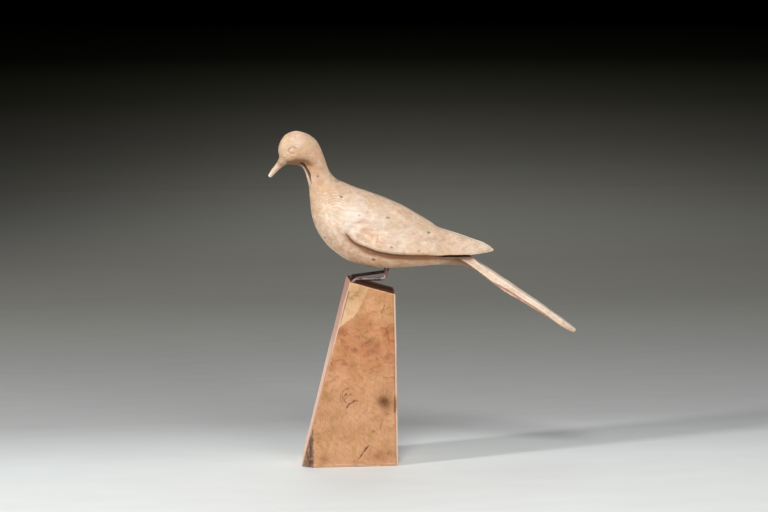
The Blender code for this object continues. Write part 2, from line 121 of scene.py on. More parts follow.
def worn_round(points, radius):
    """Round off where the sawn faces meet.

    Each point is taken to the nearest place that lies the radius inside every face, and then
    set the radius away from it again, in the direction it came from.
    """
    place, outward = (np.array([face[i] for face in BLOCK_FACES], float) for i in (0, 1))
    outward /= np.linalg.norm(outward, axis=1)[:, None]
    twist = LEFT_TWIST * (0.5 + points[:, 1] / BLOCK_DEPTH) * (1 - points[:, 2] / BLOCK_PEAK[1])
    flat = points - np.column_stack((twist * (points[:, 0] < 0), 0 * twist, 0 * twist))
    inner = flat.copy()
    for _ in range(6):
        for start, way in zip(place, outward):
            beyond = (inner - start) @ way + radius
            inner -= np.maximum(beyond, 0)[:, None] * way
    away = flat - inner
    length = np.maximum(np.linalg.norm(away, axis=1), 1e-9)
    return points - flat + inner + away * (radius / length)[:, None]


def waves(points, size, seed, count=24):
    """Soft unevenness between about -1 and 1, with bumps about size apart.

    It is the sum of plane waves in seeded directions, with seeded lengths and phases.
    """
    random = np.random.default_rng(seed)
    way = random.normal(size=(count, 3))
    way *= (2 * math.pi / size * random.uniform(0.6, 1.5, count)
            / np.linalg.norm(way, axis=1))[:, None]
    phase = random.uniform(0, 2 * math.pi, count)
    return np.sin(points @ way.T + phase).sum(axis=1) * math.sqrt(2 / count) / 2


def near_line(points, line):
    """How far each point is from a broken line, in as many dimensions as the line has."""
    line = np.array(line, float)
    points = points[:, :line.shape[1]]
    best = np.full(len(points), 1e9)
    for start, end in zip(line[:-1], line[1:]):
        along = end - start
        t = np.clip((points - start) @ along / max(along @ along, 1e-9), 0, 1)
        best = np.minimum(best, np.linalg.norm(points - start - t[:, None] * along, axis=1))
    return best


def ease(low, high, value):
    """0 at low, 1 at high, and an S-shaped curve between."""
    t = np.clip((value - low) / (high - low), 0.0, 1.0)
    return t * t * (3 - 2 * t)


def bell(distance, width):
    """1 at no distance, and falling away in a bell of the given width."""
    return np.exp(-(distance / width) ** 2)


def new_piece(name, *grids):
    """One closed mesh from grids of points in millimetres.

    Each cell of a grid is a quad. Points that lie on each other are welded, so seams, poles and
    folded rows close, and the faces are turned outwards.
    """
    points = np.concatenate([grid.reshape(-1, 3) for grid in grids])
    quads, first = [], 0
    for grid in grids:
        index = first + np.arange(grid.shape[0] * grid.shape[1]).reshape(grid.shape[:2])
        corners = (index[:-1, :-1], index[:-1, 1:], index[1:, 1:], index[1:, :-1])
        quads.append(np.stack(corners, axis=-1).reshape(-1, 4))
        first += index.size
    mesh = bpy.data.meshes.new(name)
    mesh.from_pydata((points * MM).tolist(), [], np.concatenate(quads).tolist())
    skin = bmesh.new()
    skin.from_mesh(mesh)
    bmesh.ops.remove_doubles(skin, verts=skin.verts, dist=2e-6)
    bmesh.ops.recalc_face_normals(skin, faces=skin.faces)
    skin.to_mesh(mesh)
    skin.free()
    mesh.shade_smooth()
    piece = bpy.data.objects.new(name, mesh)
    bpy.context.scene.collection.objects.link(piece)
    return piece


def read_points(mesh, normals=False):
    """The mesh's points in millimetres, or its normals, as one array."""
    values = np.empty(len(mesh.vertices) * 3)
    if normals:
        mesh.vertex_normals.foreach_get("vector", values)
        return values.reshape(-1, 3)
    mesh.vertices.foreach_get("co", values)
    return values.reshape(-1, 3) / MM


def move_points(mesh, points):
    """Give the mesh its points again, in millimetres."""
    mesh.vertices.foreach_set("co", (points * MM).ravel())
    mesh.update()


def paint(mesh, **masks):
    """Keep numbers between 0 and 1 for each point, by name, for the material to read."""
    for name, values in masks.items():
        kept = mesh.attributes.new(name, "FLOAT", "POINT")
        kept.data.foreach_set("value", np.clip(values, 0, 1))


def hollowness(mesh, rounds):
    """How deep each point lies under its smoothed surroundings, in millimetres.

    The points are moved to the mean of their neighbours again and again, and the result is
    measured along the normal: more than 0 in hollows, less on ridges.
    """
    points, normals = read_points(mesh), read_points(mesh, normals=True)
    ends = np.empty(len(mesh.edges) * 2, dtype=np.int32)
    mesh.edges.foreach_get("vertices", ends)
    one, two = ends.reshape(-1, 2).T
    count = np.bincount(ends, minlength=len(points))[:, None]
    smooth = points.copy()
    for _ in range(rounds):
        total = np.stack([np.bincount(one, smooth[two, i], len(points))
                          + np.bincount(two, smooth[one, i], len(points)) for i in range(3)],
                         axis=-1)
        smooth = smooth + (total / count - smooth) * 0.7
    return ((smooth - points) * normals).sum(axis=1)


def inside(points, face):
    """How far each point lies inside one sawn face."""
    start, way = (np.array(part, float) for part in BLOCK_FACES[face])
    return (start - points) @ way / np.linalg.norm(way)


def marks(points, places, squeeze=1.0):
    """The strongest of a list of soft round marks: a place, its size and its strength."""
    result = np.zeros(len(points))
    for *place, size, strength in places:
        gap = np.linalg.norm((points - place) * squeeze, axis=1)
        result = np.maximum(result, strength * bell(gap, size))
    return result


# Where the near face is marked, in millimetres: cracks as x and z with their width and how
# dark they are; spots, blotches and light patches as x and z with size and strength; and the
# line above which the wood is pale sapwood
NEAR = -BLOCK_DEPTH / 2
CRACKS = (
    (((39.6, 189.5), (37, 183.5), (36, 180.5)), 0.55, 0.8),
    (((7.9, 78.6), (4, 77.8), (0.9, 76.4), (-3.1, 73.3), (-4.6, 70.1)), 0.8, 1),
    (((20.6, 24.2), (14.5, 16.5), (9.2, 9.2)), 0.8, 1),
    (((-8.5, 90.1), (-5.3, 92.5), (-2.2, 93.1)), 0.6, 0.8),
    (((-9.4, 88), (-9.6, 84.6), (-8.5, 81.3)), 0.5, 0.6),
    (((-6.4, 86), (-4.2, 86.9)), 0.7, 0.8),
    (((-0.6, 87.2), (0.6, 85.6)), 0.6, 0.6),
    (((39.8, 164.9), (43.2, 158), (44.6, 150.7)), 0.6, 0.45),
    (((38, 105), (52, 105.4)), 0.45, 0.4),
    (((34.5, 45), (37.5, 53.3), (35, 57)), 0.6, 0.4),
    (((-44.6, 46), (-40.4, 61), (-37.6, 72)), 1, 0.55),
    (((-11.2, 86.4), (-11.9, 80.5), (-9.5, 74.1), (-5.8, 69.9)), 0.5, 0.6),
    (((-6.5, 78.1), (-0.6, 75.3)), 0.5, 0.7), (((-5.4, 68.8), (-5.8, 62.9)), 0.5, 0.5),
    (((-8.3, 79), (-4.5, 82.5), (-1.5, 86)), 0.5, 0.5),
)
SPOTS = (
    (-6.7, 155.7, 1.2, 1), (15, 154.8, 1.1, 1), (23.1, 168.5, 1.2, 1), (-21.6, 123.3, 1.5, 1),
    (26.6, 41.6, 1.5, 1), (-24.5, 109, 1.3, 1), (5, 139.5, 1.5, 1), (-38, 30, 1.1, 1),
)
BLOTCHES = (
    (20, 147, 8.5, 0.6), (30, 143, 7, 0.6), (26, 137, 7.5, 0.7), (4, 136.5, 4, 0.6),
    (3, 120, 6, 0.35), (-31.4, 9.5, 6, 0.6), (34, 13, 8, 0.6), (46, 15, 6, 0.7),
    (-20, 44, 9, 0.35), (45, 128, 7, 0.45), (-12, 62, 8, 0.3), (30, 58, 5, 0.3),
    (-14, 160, 6, 0.35), (10, 165, 9, 0.3), (-28, 84, 11, 0.35), (41.5, 70, 5.5, 0.7),
    (-22, 117, 4.5, 0.5), (-25, 62, 10, 0.3), (0.5, 199, 3.6, 0.5), (8, 203.5, 4, 0.4),
    (14.5, 197, 3, 0.35), (20, 200, 3.5, 0.3), (-3, 186, 2.5, 0.4), (46, 160, 6, 0.35),
    (-40, 36, 7, 0.35), (12, 44, 8, 0.2), (35, 79, 6, 0.45), (40, 91, 8.5, 0.4),
    (41, 63.5, 4.5, 0.5), (0, 182, 3, 0.3),
)
LIGHT_PATCHES = (
    (18, 97, 15, 1), (22, 64, 13, 1), (-14, 106, 11, 1), (2, 56, 9, 1), (44, 54, 8, 1),
    (34, 182, 11, 1), (-20, 134, 6, 1), (6, 24, 11, 1), (46, 108, 7, 1), (-16, 24, 9, 1),
)
SAP_LINE = ((-40, 150), (-16, 163.5), (-6.6, 170.2), (2.6, 176.2), (10.4, 187.0),
            (16.7, 201.1), (21.3, 210.3), (30, 226))
KNOT = ((39, -31.5, 77.1), (46, -12, 74))
KNOT_SIZE = 6.0
CRACK_DEPTH, SPOT_DEPTH, KNOT_DEPTH, HOLE_WEAR = 0.75, 0.35, 0.25, 1.3
KNOT_EDGE = ((52.4, -30.5, 81.5), (52.4, -30.5, 65))
RING, RING_RADIUS = (43.7, 183.4), 4.3
LEFT_CRACK = ((-2.2, -30, 206), (-6.5, -30, 191), (-12.5, -30, 168))

grid = block_points()
flat = grid.reshape(-1, 3)
wear = 0.9 + 0.5 * waves(flat, 30, 11) + 0.25 * waves(flat, 9, 12)
block = new_piece("worn_block", worn_round(flat, np.clip(wear, 0.35, 1.7)).reshape(grid.shape))
mesh = block.data
points, normals = read_points(mesh), read_points(mesh, normals=True)
x, y, z = points.T
on_face = np.column_stack((x, z))
seen = on_face + np.column_stack(
    [0.55 * waves(points, 7, seed) + 0.3 * waves(points, 2.5, seed + 20) for seed in (15, 16)])
broken = np.clip(0.75 + 0.5 * waves(points, 4, 27), 0.25, 1)
on_near = ease(0.8, 0.95, -normals[:, 1])
on_left = ease(0.8, 0.93, -normals[:, 0])
on_top = ease(0.7, 0.9, normals[:, 2])
on_wane = 1 - ease(0.1, 1.0, inside(points, 4) + 0.3 * waves(points, 5, 17))

cracks = np.zeros(len(points))
for line, width, dark in CRACKS:
    cracks = np.maximum(cracks, dark * bell(near_line(seen, line), width) * on_near)
ring_gap = np.abs(np.hypot(x - RING[0], z - RING[1]) - RING_RADIUS)
cracks = np.maximum(cracks, 0.3 * bell(ring_gap, 0.8) * on_near)
cracks *= broken
left_gap = near_line(points, LEFT_CRACK)
cracks = np.maximum(cracks, bell(left_gap, 1.3) * ease(160, 182, z))
spots = 0.6 * marks(seen, SPOTS) * on_near
blotch = marks(on_face, BLOTCHES, (1, 1.3)) * (1 + 0.5 * waves(points, 4, 18))
light = marks(on_face, LIGHT_PATCHES) * (1 + 0.4 * waves(points, 6, 31))
knot_gap = near_line(points, KNOT) + 0.5 * waves(points, 4, 19)
knot = 1 - ease(KNOT_SIZE * 0.2, KNOT_SIZE * 1.6, knot_gap + 0.9 * waves(points, 3, 28))
knot = np.maximum(knot, 0.8 * (1 - ease(0.8, 2.6, near_line(points, KNOT_EDGE))))
# The worn right front corner and arrises are lightened, partly as wear and partly as a painted
# highlight.
rubbed = 1 - ease(0.4, 1.6, inside(points, 5) + 0.15 * waves(points, 8, 29))
rubbed *= ease(2.3, 1.5, inside(points, 3)) * (1 - 0.9 * bell(z - 73, 9))
foot_line = bell(z - 3.0, 0.9) * (0.5 + 0.5 * waves(points, 12, 30)) * on_near
top_line = (1 - ease(0.2, 1.1, inside(points, 6))) * ease(0.4, 0.9, -normals[:, 1])
sap_x, sap_z = np.array(SAP_LINE, float).T
sap = ease(-1.4, 1.4, z - np.interp(x, sap_x, sap_z) - 0.5 * (y - NEAR) * (x > 0)
           + 1.1 * waves(points, 9, 20))

rough = 0.22 * waves(points, 45, 13) + 0.10 * waves(points * (1, 1, 0.25), 7, 14)
rough += on_wane * (0.45 * waves(points * (1, 1, 0.4), 5, 23) - 0.3)
rough -= CRACK_DEPTH * cracks + SPOT_DEPTH * spots + KNOT_DEPTH * knot * on_near
for place in LEG_HOLES:
    gap = np.linalg.norm(points[:, :2] - place, axis=1)
    rough -= HOLE_WEAR * bell(gap, 2.9) * on_top
rough *= ease(0, 1.5, z)
move_points(mesh, points + normals * rough[:, None])
deep = hollowness(mesh, 12)
# Painted shadow: the top is darkened round the far leg's hole; the rest of this mark is cracks and
# spots.
far_hole = np.linalg.norm(points[:, :2] - LEG_HOLES[1], axis=1)
paint(mesh, crack=cracks + 0.8 * spots + 0.9 * bell(far_hole, 9) * on_top)
by_arris = ease(NEAR + 19, NEAR + 7, y + 4 * waves(points, 22, 37))
low = ease(150, 115, z)
paint(mesh, near_arris=on_left * (by_arris + low * (1 - 2 * by_arris)))
# The whole slanted top is marked for painted shade.
paint(mesh, blotch=blotch, light=light, knot=knot, sapwood=sap, top_side=on_top, wane=on_wane,
      knot_halo=bell(knot_gap, 2.1 * KNOT_SIZE))
paint(mesh, left_side=on_left * (1 - 0.8 * ease(150, 115, z) * ease(NEAR + 22, NEAR + 10, y)))
paint(mesh, edge=ease(0.05, 0.30, -deep))
# Hollows take dirt; the line along the foot of the near face is painted contact shadow.
paint(mesh, hollow=ease(0.02, 0.25, deep) + 0.5 * bell(z - 0.8, 0.8) * on_near)
paint(mesh, rubbed=rubbed + 0.4 * foot_line + 0.25 * top_line)


def tint(red, green, blue):
    """A colour from its bytes, as an amount of light."""
    value = np.array((red, green, blue)) / 255
    light = np.where(value < 0.04045, value / 12.92, ((value + 0.055) / 1.055) ** 2.4)
    return (*light.tolist(), 1.0)


def feed(tree, node, feeds):
    """Give a node's inputs their sockets, numbers or colours."""
    for name, value in feeds.items():
        if isinstance(value, bpy.types.NodeSocket):
            tree.links.new(value, node.inputs[name])
        else:
            node.inputs[name].default_value = value


def put(tree, kind, feeds, **settings):
    """Place a node, set it up, and feed its inputs with sockets, numbers or colours."""
    node = tree.nodes.new("ShaderNode" + kind)
    for name, value in settings.items():
        setattr(node, name, value)
    feed(tree, node, feeds)
    return node


def reckon(tree, operation, one, two=0.0):
    """A sum, product or other small piece of arithmetic."""
    return put(tree, "Math", {0: one, 1: two}, operation=operation).outputs[0]


def times(tree, one, two):
    """One number times another."""
    return reckon(tree, "MULTIPLY", one, two)


def stretch(tree, value, low, high):
    """A number from 0 to 1 as one from low to high."""
    return put(tree, "MapRange", {"Value": value, "To Min": low, "To Max": high}).outputs[0]


def layer(tree, amount, under, over, share=1.0):
    """Lay a colour over another where the mask says so, at most the given share of it."""
    if share != 1.0:
        amount = times(tree, amount, share)
    return put(tree, "Mix", {0: amount, 6: under, 7: over}, data_type="RGBA").outputs[2]


def coats(tree, colour, *rows):
    """Lay colours over each other in turn.

    Each row has a mask, a socket or the name of one that was painted on the mesh; the colour,
    a socket or its three bytes; and the most that it covers.
    """
    for amount, over, share in rows:
        amount = mask(tree, amount) if isinstance(amount, str) else amount
        over = tint(*over) if isinstance(over, tuple) else over
        colour = layer(tree, amount, colour, over, share)
    return colour


def rise(tree, value, low, high):
    """0 at low, 1 at high, and an S-shaped curve between."""
    return put(tree, "MapRange", {"Value": value, "From Min": low, "From Max": high},
               interpolation_type="SMOOTHSTEP").outputs[0]


def cells(tree, place, *size):
    """The place, counted in cells of a size in millimetres along x, y and z."""
    return put(tree, "VectorMath", {0: place, 1: [1 / part for part in size]},
               operation="MULTIPLY").outputs[0]


def cloud(tree, place, size, detail=2.0, twist=0.0):
    """Soft noise between 0 and 1, with blots of one size, or of a size along each axis."""
    size = size if isinstance(size, tuple) else (size,) * 3
    return put(tree, "TexNoise", {"Vector": cells(tree, place, *size), "Scale": 1.0,
                                  "Detail": detail, "Distortion": twist}).outputs[0]


def mask(tree, name):
    """A number that was painted on the mesh."""
    return put(tree, "Attribute", {}, attribute_name=name).outputs["Fac"]


def new_group(name, inputs, outputs):
    """An empty node group with named inputs and outputs, and its two end nodes."""
    tree = bpy.data.node_groups.new(name, "ShaderNodeTree")
    for socket, kind in inputs:
        tree.interface.new_socket(socket, in_out="INPUT", socket_type="NodeSocket" + kind)
    for socket in outputs:
        tree.interface.new_socket(socket, in_out="OUTPUT", socket_type="NodeSocketFloat")
    return tree, tree.nodes.new("NodeGroupInput"), tree.nodes.new("NodeGroupOutput")


def wood_figure_group():
    """Growth rings round the z axis, fibres along it, and short dark pores.

    A ring is the broken part of the distance from the axis divided by the ring width, after
    soft noise has made the distance wander; late wood is the narrow dark end of each ring.
    """
    tree, given, made = new_group(
        "wood_figure", (("Place", "Vector"), ("Ring Width", "Float"), ("Wander", "Float")),
        ("Ring", "Fibre", "Pore"))
    place = given.outputs["Place"]
    flat_place = put(tree, "VectorMath", {0: place, 1: (1, 1, 0)}, operation="MULTIPLY")
    far = put(tree, "VectorMath", {0: flat_place.outputs[0]}, operation="LENGTH").outputs[1]
    drift = reckon(tree, "SUBTRACT", cloud(tree, place, (42, 42, 110), 3), 0.5)
    far = reckon(tree, "ADD", far, times(tree, drift, given.outputs["Wander"]))
    turn = reckon(tree, "FRACT", reckon(tree, "DIVIDE", far, given.outputs["Ring Width"]))
    late = times(tree, rise(tree, turn, 0.35, 0.9), rise(tree, turn, 1.0, 0.92))
    late = times(tree, late, rise(tree, cloud(tree, place, (18, 18, 40)), 0.3, 0.7))
    fibre = cloud(tree, place, (1.1, 1.1, 16), 4)
    pore = rise(tree, cloud(tree, place, (0.9, 0.9, 5), 1), 0.66, 0.76)
    feed(tree, made, {"Ring": late, "Fibre": fibre, "Pore": pore})
    return tree


def wear_group():
    """Edges lightened by wear and painted highlight, hollows darkened by dirt and painted shade,
    both broken up by noise, and soft mottling.
    """
    tree, given, made = new_group(
        "wear", (("Place", "Vector"), ("Edge", "Float"), ("Hollow", "Float")),
        ("Worn_And_Highlight", "Grime_And_Shade", "Mottle"))
    place = given.outputs["Place"]
    rub = rise(tree, cloud(tree, place, 5.0, 3), 0.25, 0.6)
    dirt = rise(tree, cloud(tree, place, 7.0, 3), 0.2, 0.65)
    feed(tree, made, {
        "Worn_And_Highlight": times(tree, given.outputs["Edge"], rub),
        "Grime_And_Shade": times(tree, given.outputs["Hollow"], dirt),
        "Mottle": rise(tree, cloud(tree, place, 24.0, 4, 0.4), 0.3, 0.7),
    })
    return tree


wood_figure, wear_marks = wood_figure_group(), wear_group()


def new_material(name):
    """A material with its tree, its shader, and the place on the piece in millimetres."""
    material = bpy.data.materials.new(name)
    material.use_nodes = True
    tree = material.node_tree
    spot = put(tree, "TexCoord", {}).outputs["Object"]
    place = put(tree, "VectorMath", {0: spot, "Scale": 1 / MM}, operation="SCALE").outputs[0]
    return material, tree, tree.nodes["Principled BSDF"], place


def finish(tree, shader, colour, roughness, height, depth):
    """Join colour, roughness and bump to the shader; depth is the bump's, in millimetres."""
    bump = put(tree, "Bump", {"Height": height, "Distance": depth * MM, "Strength": 1.0})
    feed(tree, shader, {"Base Color": colour, "Roughness": roughness,
                        "Normal": bump.outputs[0]})


def old_timber():
    """Red-brown heartwood with pale sapwood at one corner, a knot, a burl, dark cracks, and
    painted shade on the slanted top and round the far leg's hole.
    """
    material, tree, shader, place = new_material("old_timber_worn")
    shader.inputs["Specular IOR Level"].default_value = 0.25
    centred = put(tree, "VectorMath", {0: place, 1: (60, 0, 58)}, operation="SUBTRACT")
    x, y, z = put(tree, "SeparateXYZ", {0: centred.outputs[0]}).outputs
    turned = put(tree, "CombineXYZ", {0: x, 1: z, 2: y}).outputs[0]
    ring, _, _ = put(tree, "Group", {
        "Place": turned, "Ring Width": 8.5, "Wander": 46.0},
        node_tree=wood_figure).outputs
    _, fibre, pore = put(tree, "Group", {
        "Place": place, "Ring Width": 9.0, "Wander": 20.0},
        node_tree=wood_figure).outputs
    worn_and_highlight, grime_and_shade, mottle = put(tree, "Group", {
        "Place": place, "Edge": mask(tree, "edge"), "Hollow": mask(tree, "hollow")},
        node_tree=wear_marks).outputs
    height = put(tree, "SeparateXYZ", {0: place}).outputs[2]
    slanted = put(tree, "VectorRotate", {"Vector": place, "Angle": 0.9},
                  rotation_type="Y_AXIS").outputs[0]
    red_zone = times(tree, rise(tree, height, 95, 130),
                      rise(tree, height, 185, 160))
    colour = layer(tree, mottle, tint(188, 141, 103), tint(176, 122, 84))
    blots = rise(tree, cloud(tree, place, (12, 12, 8), 5, 1.2), 0.5, 0.66)
    light_blots = rise(tree, cloud(tree, place, (20, 20, 16), 4, 0.8), 0.5, 0.66)
    ochre = rise(tree, cloud(tree, place, (18, 18, 24), 4, 1.0), 0.52, 0.66)
    streaky = rise(tree, cloud(tree, slanted, (1.5, 3, 12), 4, 0.8), 0.48, 0.72)
    sapwood = layer(tree, rise(tree, height, 182, 204), tint(204, 167, 130),
                    tint(186, 148, 106))
    sapwood = layer(tree, mottle, sapwood, tint(190, 150, 108), 0.4)
    high_blots = times(tree, blots, rise(tree, height, 190, 204))
    sapwood = layer(tree, high_blots, sapwood, tint(134, 88, 50), 0.5)
    pink = layer(tree, rise(tree, height, 200, 140), tint(178, 138, 122), tint(202, 168, 150))
    streaks = rise(tree, cloud(tree, place, (3, 2.6, 55), 4), 0.42, 0.7)
    pink = layer(tree, streaks, pink, tint(146, 108, 96), 0.5)
    pink = layer(tree, mask(tree, "near_arris"), pink, tint(230, 196, 178), 0.75)
    core = layer(tree, cloud(tree, place, 3.0, 3), tint(60, 28, 18), tint(104, 56, 36))
    # Painted shade for the slanted top: dark brown-black.
    dark = layer(tree, cloud(tree, place, (9, 4, 9), 4), tint(44, 22, 14), tint(96, 54, 34))
    bark = layer(tree, rise(tree, cloud(tree, place, (2.5, 2.5, 14), 4), 0.35, 0.65),
                 tint(66, 46, 38), tint(122, 92, 74))
    colour = coats(
        tree, colour,
        (rise(tree, height, 110, 60), (192, 146, 110), 0.6), (red_zone, (174, 110, 70), 0.5),
        ("light", (200, 152, 112), 0.5),
        (times(tree, blots, red_zone), (138, 76, 42), 0.55),
        (blots, (156, 102, 64), 0.36), (light_blots, (202, 154, 116), 0.36),
        (ochre, (168, 130, 76), 0.5), (ring, (140, 84, 48), 0.16),
        (streaky, (138, 84, 50), 0.34), ("sapwood", sapwood, 1),
        ("blotch", (120, 68, 38), 0.72), ("left_side", pink, 0.9),
        ("knot_halo", (140, 98, 52), 0.5), ("knot", core, 0.85),
        (rise(tree, fibre, 0.45, 0.75), (132, 82, 50), 0.2), (pore, (96, 54, 32), 0.35),
        ("top_side", dark, 0.95), (grime_and_shade, (92, 54, 34), 0.6), (worn_and_highlight, (212, 172, 142), 0.6),
        ("wane", bark, 0.94), ("rubbed", (230, 196, 172), 0.85), ("crack", (66, 34, 20), 0.85),
    )

    grain = reckon(tree, "ADD", fibre, times(tree, ring, 0.6))
    grain = reckon(tree, "ADD", grain, times(tree, cloud(tree, place, 1.6, 3), 0.5))
    shine = stretch(tree, mottle, 0.62, 0.78)
    finish(tree, shader, colour, shine, grain, 0.22)
    return material


mesh.materials.append(old_timber())
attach(block, "root")
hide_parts("perch_block")


# The legs: two iron rods, each bent by hand over a vice at knee and ankle, and driven into
# the belly above and into a hole in the block below.

ROD_DIAMETER = 3.7
LEG_TOP_Z = 243.0
LEG_FOOT = (4.7, 203.0)
KNEE_RADIUS, ANKLE_RADIUS = 5.5, 3.6
LEGS = (
    ("left_iron_leg", "left_leg", -15.0, (42.6, 218.9), 218.3),
    ("right_iron_leg", "right_leg", 16.0, (48.3, 223.3), 218.2),
)


def leg_route(knee, ankle_z):
    """The leg's middle line in its own upright plane, with an arc for each bend."""
    corners = np.array(((knee[0], LEG_TOP_Z), knee, (LEG_FOOT[0], ankle_z), LEG_FOOT))
    pieces = [np.linspace(0, 0.9, 10)[:, None] * (0, -1) * (LEG_TOP_Z - knee[1]) * 0.7
              + corners[0]]
    for before, corner, after, radius in zip(corners, corners[1:], corners[2:],
                                             (KNEE_RADIUS, ANKLE_RADIUS)):
        way_in, way_out = before - corner, after - corner
        way_in /= np.linalg.norm(way_in)
        way_out /= np.linalg.norm(way_out)
        half = math.acos(way_in @ way_out) / 2
        middle = (way_in + way_out) / np.linalg.norm(way_in + way_out)
        side = np.array((-middle[1], middle[0]))
        side *= np.sign(side @ way_out)
        turn = ((math.pi / 2 - half) * np.linspace(-1, 1, 19))[:, None]
        pieces.append(corner + middle * radius / math.sin(half)
                      + radius * (side * np.sin(turn) - middle * np.cos(turn)))
        if radius == KNEE_RADIUS:
            start = pieces[-1][-1]
            run = math.dist(start, corners[2]) - ANKLE_RADIUS * 1.6
            ahead = (corners[2] - start) / math.dist(start, corners[2])
            pieces.append(start + np.linspace(0.08, 1, 18)[:, None] * run * ahead)
    pieces.append(pieces[-1][-1] + np.linspace(0.1, 1, 8)[:, None]
                  * (corners[3] - pieces[-1][-1]))
    return np.concatenate(pieces)


def rod_points(route, y, radius, sides=28):
    """A round rod carried along the route: a circle across it at each point, closed at the ends
    by rings that shrink to nothing."""
    along = np.gradient(route, axis=0)
    along /= np.linalg.norm(along, axis=1)[:, None]
    route = np.concatenate((route[:1], route, route[-1:]))
    along = np.concatenate((along[:1], along, along[-1:]))
    size = np.full(len(route), radius)
    size[0] = size[-1] = 0
    turn = np.linspace(0, 2 * math.pi, sides + 1)
    out, over = size[:, None] * np.cos(turn), size[:, None] * np.sin(turn)
    return np.stack((route[:, :1] - along[:, 1:] * over, y + out,
                     route[:, 1:] + along[:, :1] * over), axis=-1)


def old_iron():
    """Dark iron with a brown skin, lightened by a painted highlight along the near leg, most at
    its knee and foot and on its upper faces.
    """
    material, tree, shader, place = new_material("old_iron_worn")
    worn_and_highlight, _, mottle = put(tree, "Group", {
        "Place": place, "Edge": mask(tree, "rubbed"), "Hollow": 0.0},
        node_tree=wear_marks).outputs
    rust = rise(tree, cloud(tree, place, 2.6, 4), 0.42, 0.62)
    colour = layer(tree, mottle, tint(52, 36, 32), tint(72, 52, 46))
    colour = coats(
        tree, colour,
        (rust, (76, 42, 32), 0.7), (worn_and_highlight, (186, 154, 150), 0.75),
    )

    feed(tree, shader, {"Metallic": stretch(tree, rust, 0.85, 0.35)})
    shine = stretch(tree, rust, 0.34, 0.62)
    finish(tree, shader, colour, shine, cloud(tree, place, 0.9, 3), 0.08)
    return material


iron = old_iron()
for name, node, y, knee, ankle_z in LEGS:
    leg = new_piece(name, rod_points(leg_route(knee, ankle_z), y, ROD_DIAMETER / 2))
    points, normals = read_points(leg.data), read_points(leg.data, normals=True)
    dents = 0.06 * waves(points, 5, 21) + 0.03 * waves(points, 1.8, 22)
    move_points(leg.data, points + normals * dents[:, None])
    over = bell(np.hypot(points[:, 0] - knee[0], points[:, 2] - knee[1]), 5)
    foot = bell(np.hypot(points[:, 0] - LEG_FOOT[0], points[:, 2] - ankle_z), 4)
    # Painted highlight: the near leg is lightened, most at its knee and foot and on its upper
    # faces; the far leg hardly.
    near_leg_highlight = 0.7 if y < 0 else 0.05
    paint(leg.data, rubbed=near_leg_highlight * (over + 0.3 + 0.6 * foot
                                         + 0.6 * ease(-0.2, 0.9, normals[:, 2])))
    leg.data.materials.append(iron)
    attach(leg, "root")
    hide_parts(node)


# The pigeon: carved from one piece of close-grained wood with rasp and knife, sanded smooth and
# bleached by years of light. Wings in low relief end in free tips over a long narrow tail.

FULLNESS, WING_FULLNESS = 2.1, 1.85
WING_RELIEF, WING_CUT = 2.4, 2.6
TIP_THICKNESS, SLOT_FALL = 0.4, 0.6
WING_RIBS, FLANK_RIBS = (20.35, 21.7), (20.85, 22.0)
FRONT_DOWN, FRONT_SPREAD, FRONT_SWEEP = 0.58, 0.30, 0.9
RELIEF_DOWN = (0.22, 0.62)
REAR_RIBS, CRISP_RIBS, MOST_SHARP = (25.2, 27.0), (27.0, 30.0), 0.85
SHOULDER_SLOPE, KEEL_STEP, VALLEY_CURVE = 0.16, 0.03, 1.4
CREST_ANGLE = 0.05 * math.pi
BELOW_RIM = np.array((0.04, 0.28, 0.46, 0.52))

